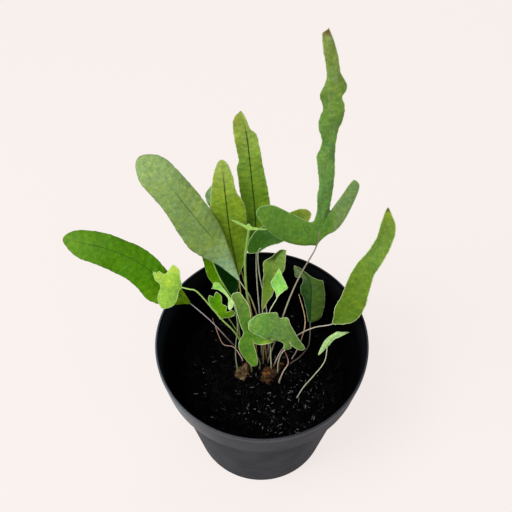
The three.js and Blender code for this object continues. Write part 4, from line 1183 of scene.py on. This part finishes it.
def scattered(count, seed, shape, sizes, rise, tilt, rough, reach=49.0, middle=(0, 0)):
    """Many rough copies of a shape strewn over the soil: points, faces and each copy's own number.

    Those numbers lean towards 0, so most copies are dark.
    """
    draw = random.Random(seed)
    template, template_faces = shape
    points, faces, tints = [], [], []
    for i in range(count):
        size = np.array([draw.uniform(low, high) for low, high in sizes]) / 2
        dents = np.array([1 + draw.uniform(-rough, rough) for _ in template])[:, None]
        x, y = np.add(random_spot(draw, reach), middle)
        copy = (template * dents * size) @ random_turn(draw, tilt).T
        points.append(copy + [x, y, soil_height(x, y) + draw.uniform(*rise)])
        faces += shifted(template_faces, i * len(template))
        tints += [draw.random() ** 2.4] * len(template)
    return np.vstack(points), faces, tints


def strewn_fibres(count, seed, length, radius, rise, reach=48.0):
    """Many thin bent fibres strewn over the soil."""
    draw = random.Random(seed)
    steps = 6
    points, faces, tints = [], [], []
    total = 0
    for _ in range(count):
        x, y = random_spot(draw, reach)
        heading, bend = draw.uniform(0, 2 * math.pi), draw.uniform(-0.5, 0.5)
        step = draw.uniform(*length) / steps
        height = draw.uniform(*rise)
        path = []
        for k in range(steps + 1):
            arch = height + 0.5 * math.sin(math.pi * k / steps) * draw.uniform(0.2, 1.6)
            path.append((x, y, soil_height(x, y) + arch))
            x += step * math.cos(heading)
            y += step * math.sin(heading)
            heading += bend * draw.uniform(0, 1)
        thick = draw.uniform(*radius) * np.array([0.5, 1, 1, 1, 1, 0.8, 0.3])
        fibre_points, fibre_faces, _ = tube_mesh(np.array(path), thick, 4)
        away = np.hypot(fibre_points[:, 0], fibre_points[:, 1])
        fibre_points[:, :2] *= np.minimum(1, (reach + 1.5) / np.maximum(away, 1))[:, None]
        points.append(fibre_points)
        faces += shifted(fibre_faces, total)
        tints += [draw.random()] * len(fibre_points)
        total += len(fibre_points)
    return np.vstack(points), faces, tints


def litter_finish(name, dark, light, roughness, shine, grain_mm):
    """A finish for loose bits and scales, each with its own shade between two colours."""
    finish = Finish(name)
    finish.colour = finish.mix(finish.fact("tint"), dark, light)
    finish.shade((0.45, 0.42, 0.4), finish.lumps(grain_mm, 4, 0.35, 0.7), 0.6)
    return finish.close(roughness, shine, finish.grain(grain_mm / 2), 0.25)


def make_litter():
    """Crumbs, bark chips, fibres and slivers on the soil, the slivers pale grey as painted glints, with most
    of them at the front right.
    """
    crumb = litter_finish("soil_bits", (0.0005, 0.0005, 0.0005), (0.002, 0.0015, 0.0015), 0.9, 0.03, 0.8)
    bark = litter_finish("bark", (0.0008, 0.0007, 0.0007), (0.0035, 0.0024, 0.0022), 0.8, 0.05, 1.2)
    coir = litter_finish("coir", (0.001, 0.001, 0.001), (0.011, 0.011, 0.011), 0.6, 0.08, 0.8)
    # The slivers' pale grey is painted glint, standing in for specular glints on the dark soil.
    pale = litter_finish("glint_sliver_finish", (0.008, 0.009, 0.01), (0.27, 0.28, 0.29), 0.4, 0.2, 0.6)
    crumb_sizes = [(0.7, 2.4), (0.7, 2.2), (0.5, 1.6)]
    chip_sizes = [(2.5, 7.5), (1.4, 3.6), (0.7, 1.8)]
    far_sizes = [(0.8, 3.8), (0.25, 0.6), (0.25, 0.4)]
    near_sizes = [(0.8, 3.6), (0.25, 0.7), (0.25, 0.4)]
    above = (0.7, 1.8)
    kinds = [
        ("soil_crumbs", crumb, scattered(1900, 11, ball(1), crumb_sizes, (-0.5, 0.9), 1.2, 0.25)),
        ("bark_chips", bark, scattered(230, 12, ball(2), chip_sizes, (-0.2, 1.1), 0.5, 0.2, 46.0)),
        ("coir_fibres", coir, strewn_fibres(330, 13, (4, 15), (0.1, 0.2), (0.2, 1.2))),
        # Pale slivers as painted glints, sparse everywhere and denser at the front right.
        ("glint_slivers", pale, scattered(110, 14, ball(1), far_sizes, above, 0.6, 0.2, 44.0)),
        ("glint_slivers_near", pale, scattered(
            220, 15, ball(1), near_sizes, above, 0.6, 0.2, 27.0, (11, -15))),
    ]
    for name, finish, (points, faces, tints) in kinds:
        piece = make_object(name, points, faces, [finish], dict(tint=tints), smooth=name != "bark_chips")
        settle(piece, "soil")


# The rhizome
RHIZOME_STEP = 1.2
RHIZOME_VOXEL = 0.45


def rhizome_finish():
    """Knobbly rust-brown skin with yellow spots and dark patches, and tan on the left arm's tip."""
    finish = Finish("rhizome_skin")
    blotch = finish.lumps(2.2, 4, 0.35, 0.68)
    finish.colour = finish.mix(blotch, (0.030, 0.010, 0.005), (0.30, 0.10, 0.025))
    finish.cover((0.30, 0.26, 0.05), finish.lumps(1.6, 2, 0.58, 0.7), 0.8)
    finish.cover(finish.mix(blotch, (0.06, 0.035, 0.016), (0.46, 0.36, 0.17)), finish.fact("tint"))
    finish.shade((0.22, 0.2, 0.2), finish.lumps(4, 2, 0.42, 0.56), 0.85)
    return finish.close(0.75, 0.25, finish.calc("ADD", finish.grain(1.1, 4), finish.grain(0.4)), 0.5)


def arm_shapes():
    """Each arm's knobs and the lengths between them, as the places and radii of balls."""
    for arm in RHIZOME_ARMS:
        curve = Curve(arm["path"])
        for place in curve.point(np.linspace(0, 1, int(curve.length / RHIZOME_STEP))):
            yield place, arm["radius"]
        for i, knob in enumerate(arm["path"]):
            yield np.array(knob, float), arm["radius"] * (RHIZOME_KNOT if i else arm["tip"])


def make_rhizome():
    """The knobbly arms in one skin, and the golden scales that cover them."""
    template, template_faces = ball(3)
    balls = list(arm_shapes())
    points = np.vstack([template * radius + place for place, radius in balls])
    faces = [face for i in range(len(balls)) for face in shifted(template_faces, i * len(template))]
    lumps = make_object("rhizome_skin", points, faces, [])
    remesh = lumps.modifiers.new("skin", "REMESH")
    remesh.mode, remesh.voxel_size, remesh.use_smooth_shade = "VOXEL", RHIZOME_VOXEL * MM, True
    skin = changed_mesh(lumps)
    bpy.data.objects.remove(lumps)
    places = np.array([vert.co for vert in skin.vertices]) / MM
    normals = np.array([vert.normal for vert in skin.vertices])
    swell = cloud(places, 3.4, 8) * 1.7 + cloud(places, 1.3, 9) * 0.6 - 0.6
    places = places + normals * swell[:, None]
    near_left = 1 - smooth_step(4, 9, np.linalg.norm(places - np.array(RHIZOME_ARMS[0]["path"][0]), axis=1))
    faces = [list(face.vertices) for face in skin.polygons]
    piece = make_object("rhizome_body", places, faces, [rhizome_finish()], dict(tint=near_left))
    settle(piece, "rhizome", "rhizome")
    make_scales(places, normals, near_left)


def make_scales(places, normals, near_left, count=1500, seed=21):
    """Thin pointed scales that stand off the rhizome where it shows."""
    draw = random.Random(seed)
    shown = [i for i in range(len(places)) if places[i][2] > SOIL["level"] - 1.5]
    one_scale = [[2, 1, 0]]
    for k, after in ((0, 1), (1, 2), (2, 0)):
        one_scale += [[k, after, 3 + after, 3 + k], [3 + k, 3 + after, 6]]
    points, faces, tints = [], [], []
    for n in range(count):
        i = draw.choice(shown)
        aside = np.array([draw.uniform(-1, 1), draw.uniform(-1, 1), draw.uniform(-0.3, 0.9)])
        lean = unit(normals[i] + aside * 0.9)
        long = draw.uniform(0.7, 2.1)
        wide = draw.uniform(0.05, 0.12)
        across = unit(np.cross(lean, [draw.uniform(-1, 1), draw.uniform(-1, 1), 0.1]))
        other = np.cross(lean, across)
        foot = places[i] - lean * 0.2
        bow = normals[i] * draw.uniform(-0.25, 0.25)
        corners = [across, -0.5 * across + 0.87 * other, -0.5 * across - 0.87 * other]
        points += [foot + corner * wide for corner in corners]
        points += [foot + lean * long * 0.6 + bow + corner * wide * 0.6 for corner in corners]
        points.append(foot + lean * long)
        faces += shifted(one_scale, 7 * n)
        tints += [min(1, max(0, draw.uniform(0, 0.75) + 0.5 * near_left[i]))] * 7
    finish = litter_finish("golden_scales", (0.05, 0.018, 0.006), (0.46, 0.26, 0.10), 0.6, 0.3, 0.7)
    piece = make_object("rhizome_scales", points, faces, [finish], dict(tint=tints))
    settle(piece, "rhizome")


# The stage: a pale floor, soft light and the camera
CAMERA_PLACE = (0, -0.19297, 0.46042)
CAMERA_AHEAD = (-0.0103, 0.5846, -0.8113)
CAMERA_ROLL = math.radians(0.1)
LENS = 49.22
SENSOR = 36.0
FLOOR_COLOUR = (0.12, 0.113, 0.109)
FLOOR_GLOW = (0.805, 0.742, 0.722)
FLOOR_REACH = 3.0
SKY = (0.97, 0.985, 1.0, 1)
SKY_STRENGTH = 0.42
LIT_PLACE = Vector((0, 0, 0.1))

# Each light: its place and size in metres, its power in watts and its colour
LIGHTS = {
    "key_light": ((-0.5, -0.35, 1.3), 0.6, 13.0, (1.0, 0.985, 0.965)),
    "side_light": ((-1.1, -0.5, 0.5), 0.5, 5.0, (0.78, 0.92, 1.0)),
    "fill_light": ((0.9, -0.6, 1.0), 0.9, 3.0, (1.0, 0.97, 0.95)),
    "back_light": ((0.5, 1.2, 0.8), 0.8, 4.0, (0.97, 0.99, 1.0)),
}


def make_floor():
    finish = Finish("floor_paper")
    finish.fill(finish.shader, {
        "Base Color": FLOOR_COLOUR, "Emission Color": FLOOR_GLOW, "Emission Strength": 1.0,
        "Roughness": 0.9, "Specular IOR Level": 0.1,
    })
    corners = [(-1, -1), (1, -1), (1, 1), (-1, 1)]
    points = [(x * FLOOR_REACH / MM, y * FLOOR_REACH / MM, 0) for x, y in corners]
    make_object("floor", points, [[0, 1, 2, 3]], [finish.material], smooth=False)


def aim(name, data, place, direction):
    """A light or camera at a place, turned in a direction."""
    holder = link(name, data)
    holder.location = place
    holder.rotation_mode = "QUATERNION"
    holder.rotation_quaternion = direction.to_track_quat("-Z", "Y")
    return holder


def light_scene():
    world = bpy.data.worlds.new("studio")
    world.use_nodes = True
    sky = world.node_tree.nodes["Background"]
    sky.inputs["Color"].default_value = SKY
    sky.inputs["Strength"].default_value = SKY_STRENGTH
    bpy.context.scene.world = world
    for name, (place, size, power, colour) in LIGHTS.items():
        lamp = bpy.data.lights.new(name, "AREA")
        lamp.shape, lamp.size, lamp.energy, lamp.color = "DISK", size, power, colour
        aim(name, lamp, place, LIT_PLACE - Vector(place))
    bpy.context.scene.view_settings.view_transform = "Standard"


def make_camera():
    camera = bpy.data.cameras.new("camera")
    camera.lens, camera.sensor_width = LENS, SENSOR
    camera.clip_start, camera.clip_end = 0.01, 20
    holder = aim("camera", camera, CAMERA_PLACE, Vector(CAMERA_AHEAD))
    roll = Matrix.Rotation(CAMERA_ROLL, 3, "Z").to_quaternion()
    holder.rotation_quaternion = holder.rotation_quaternion @ roll
    bpy.context.scene.camera = holder


make_camera()
light_scene()
make_floor()
make_pot()
make_soil()
make_litter()
make_rhizome()
for seed, frond in enumerate(FRONDS):
    make_frond(frond, seed)
for seed, straw in enumerate(STRAWS, len(FRONDS)):
    make_straw(straw, seed)
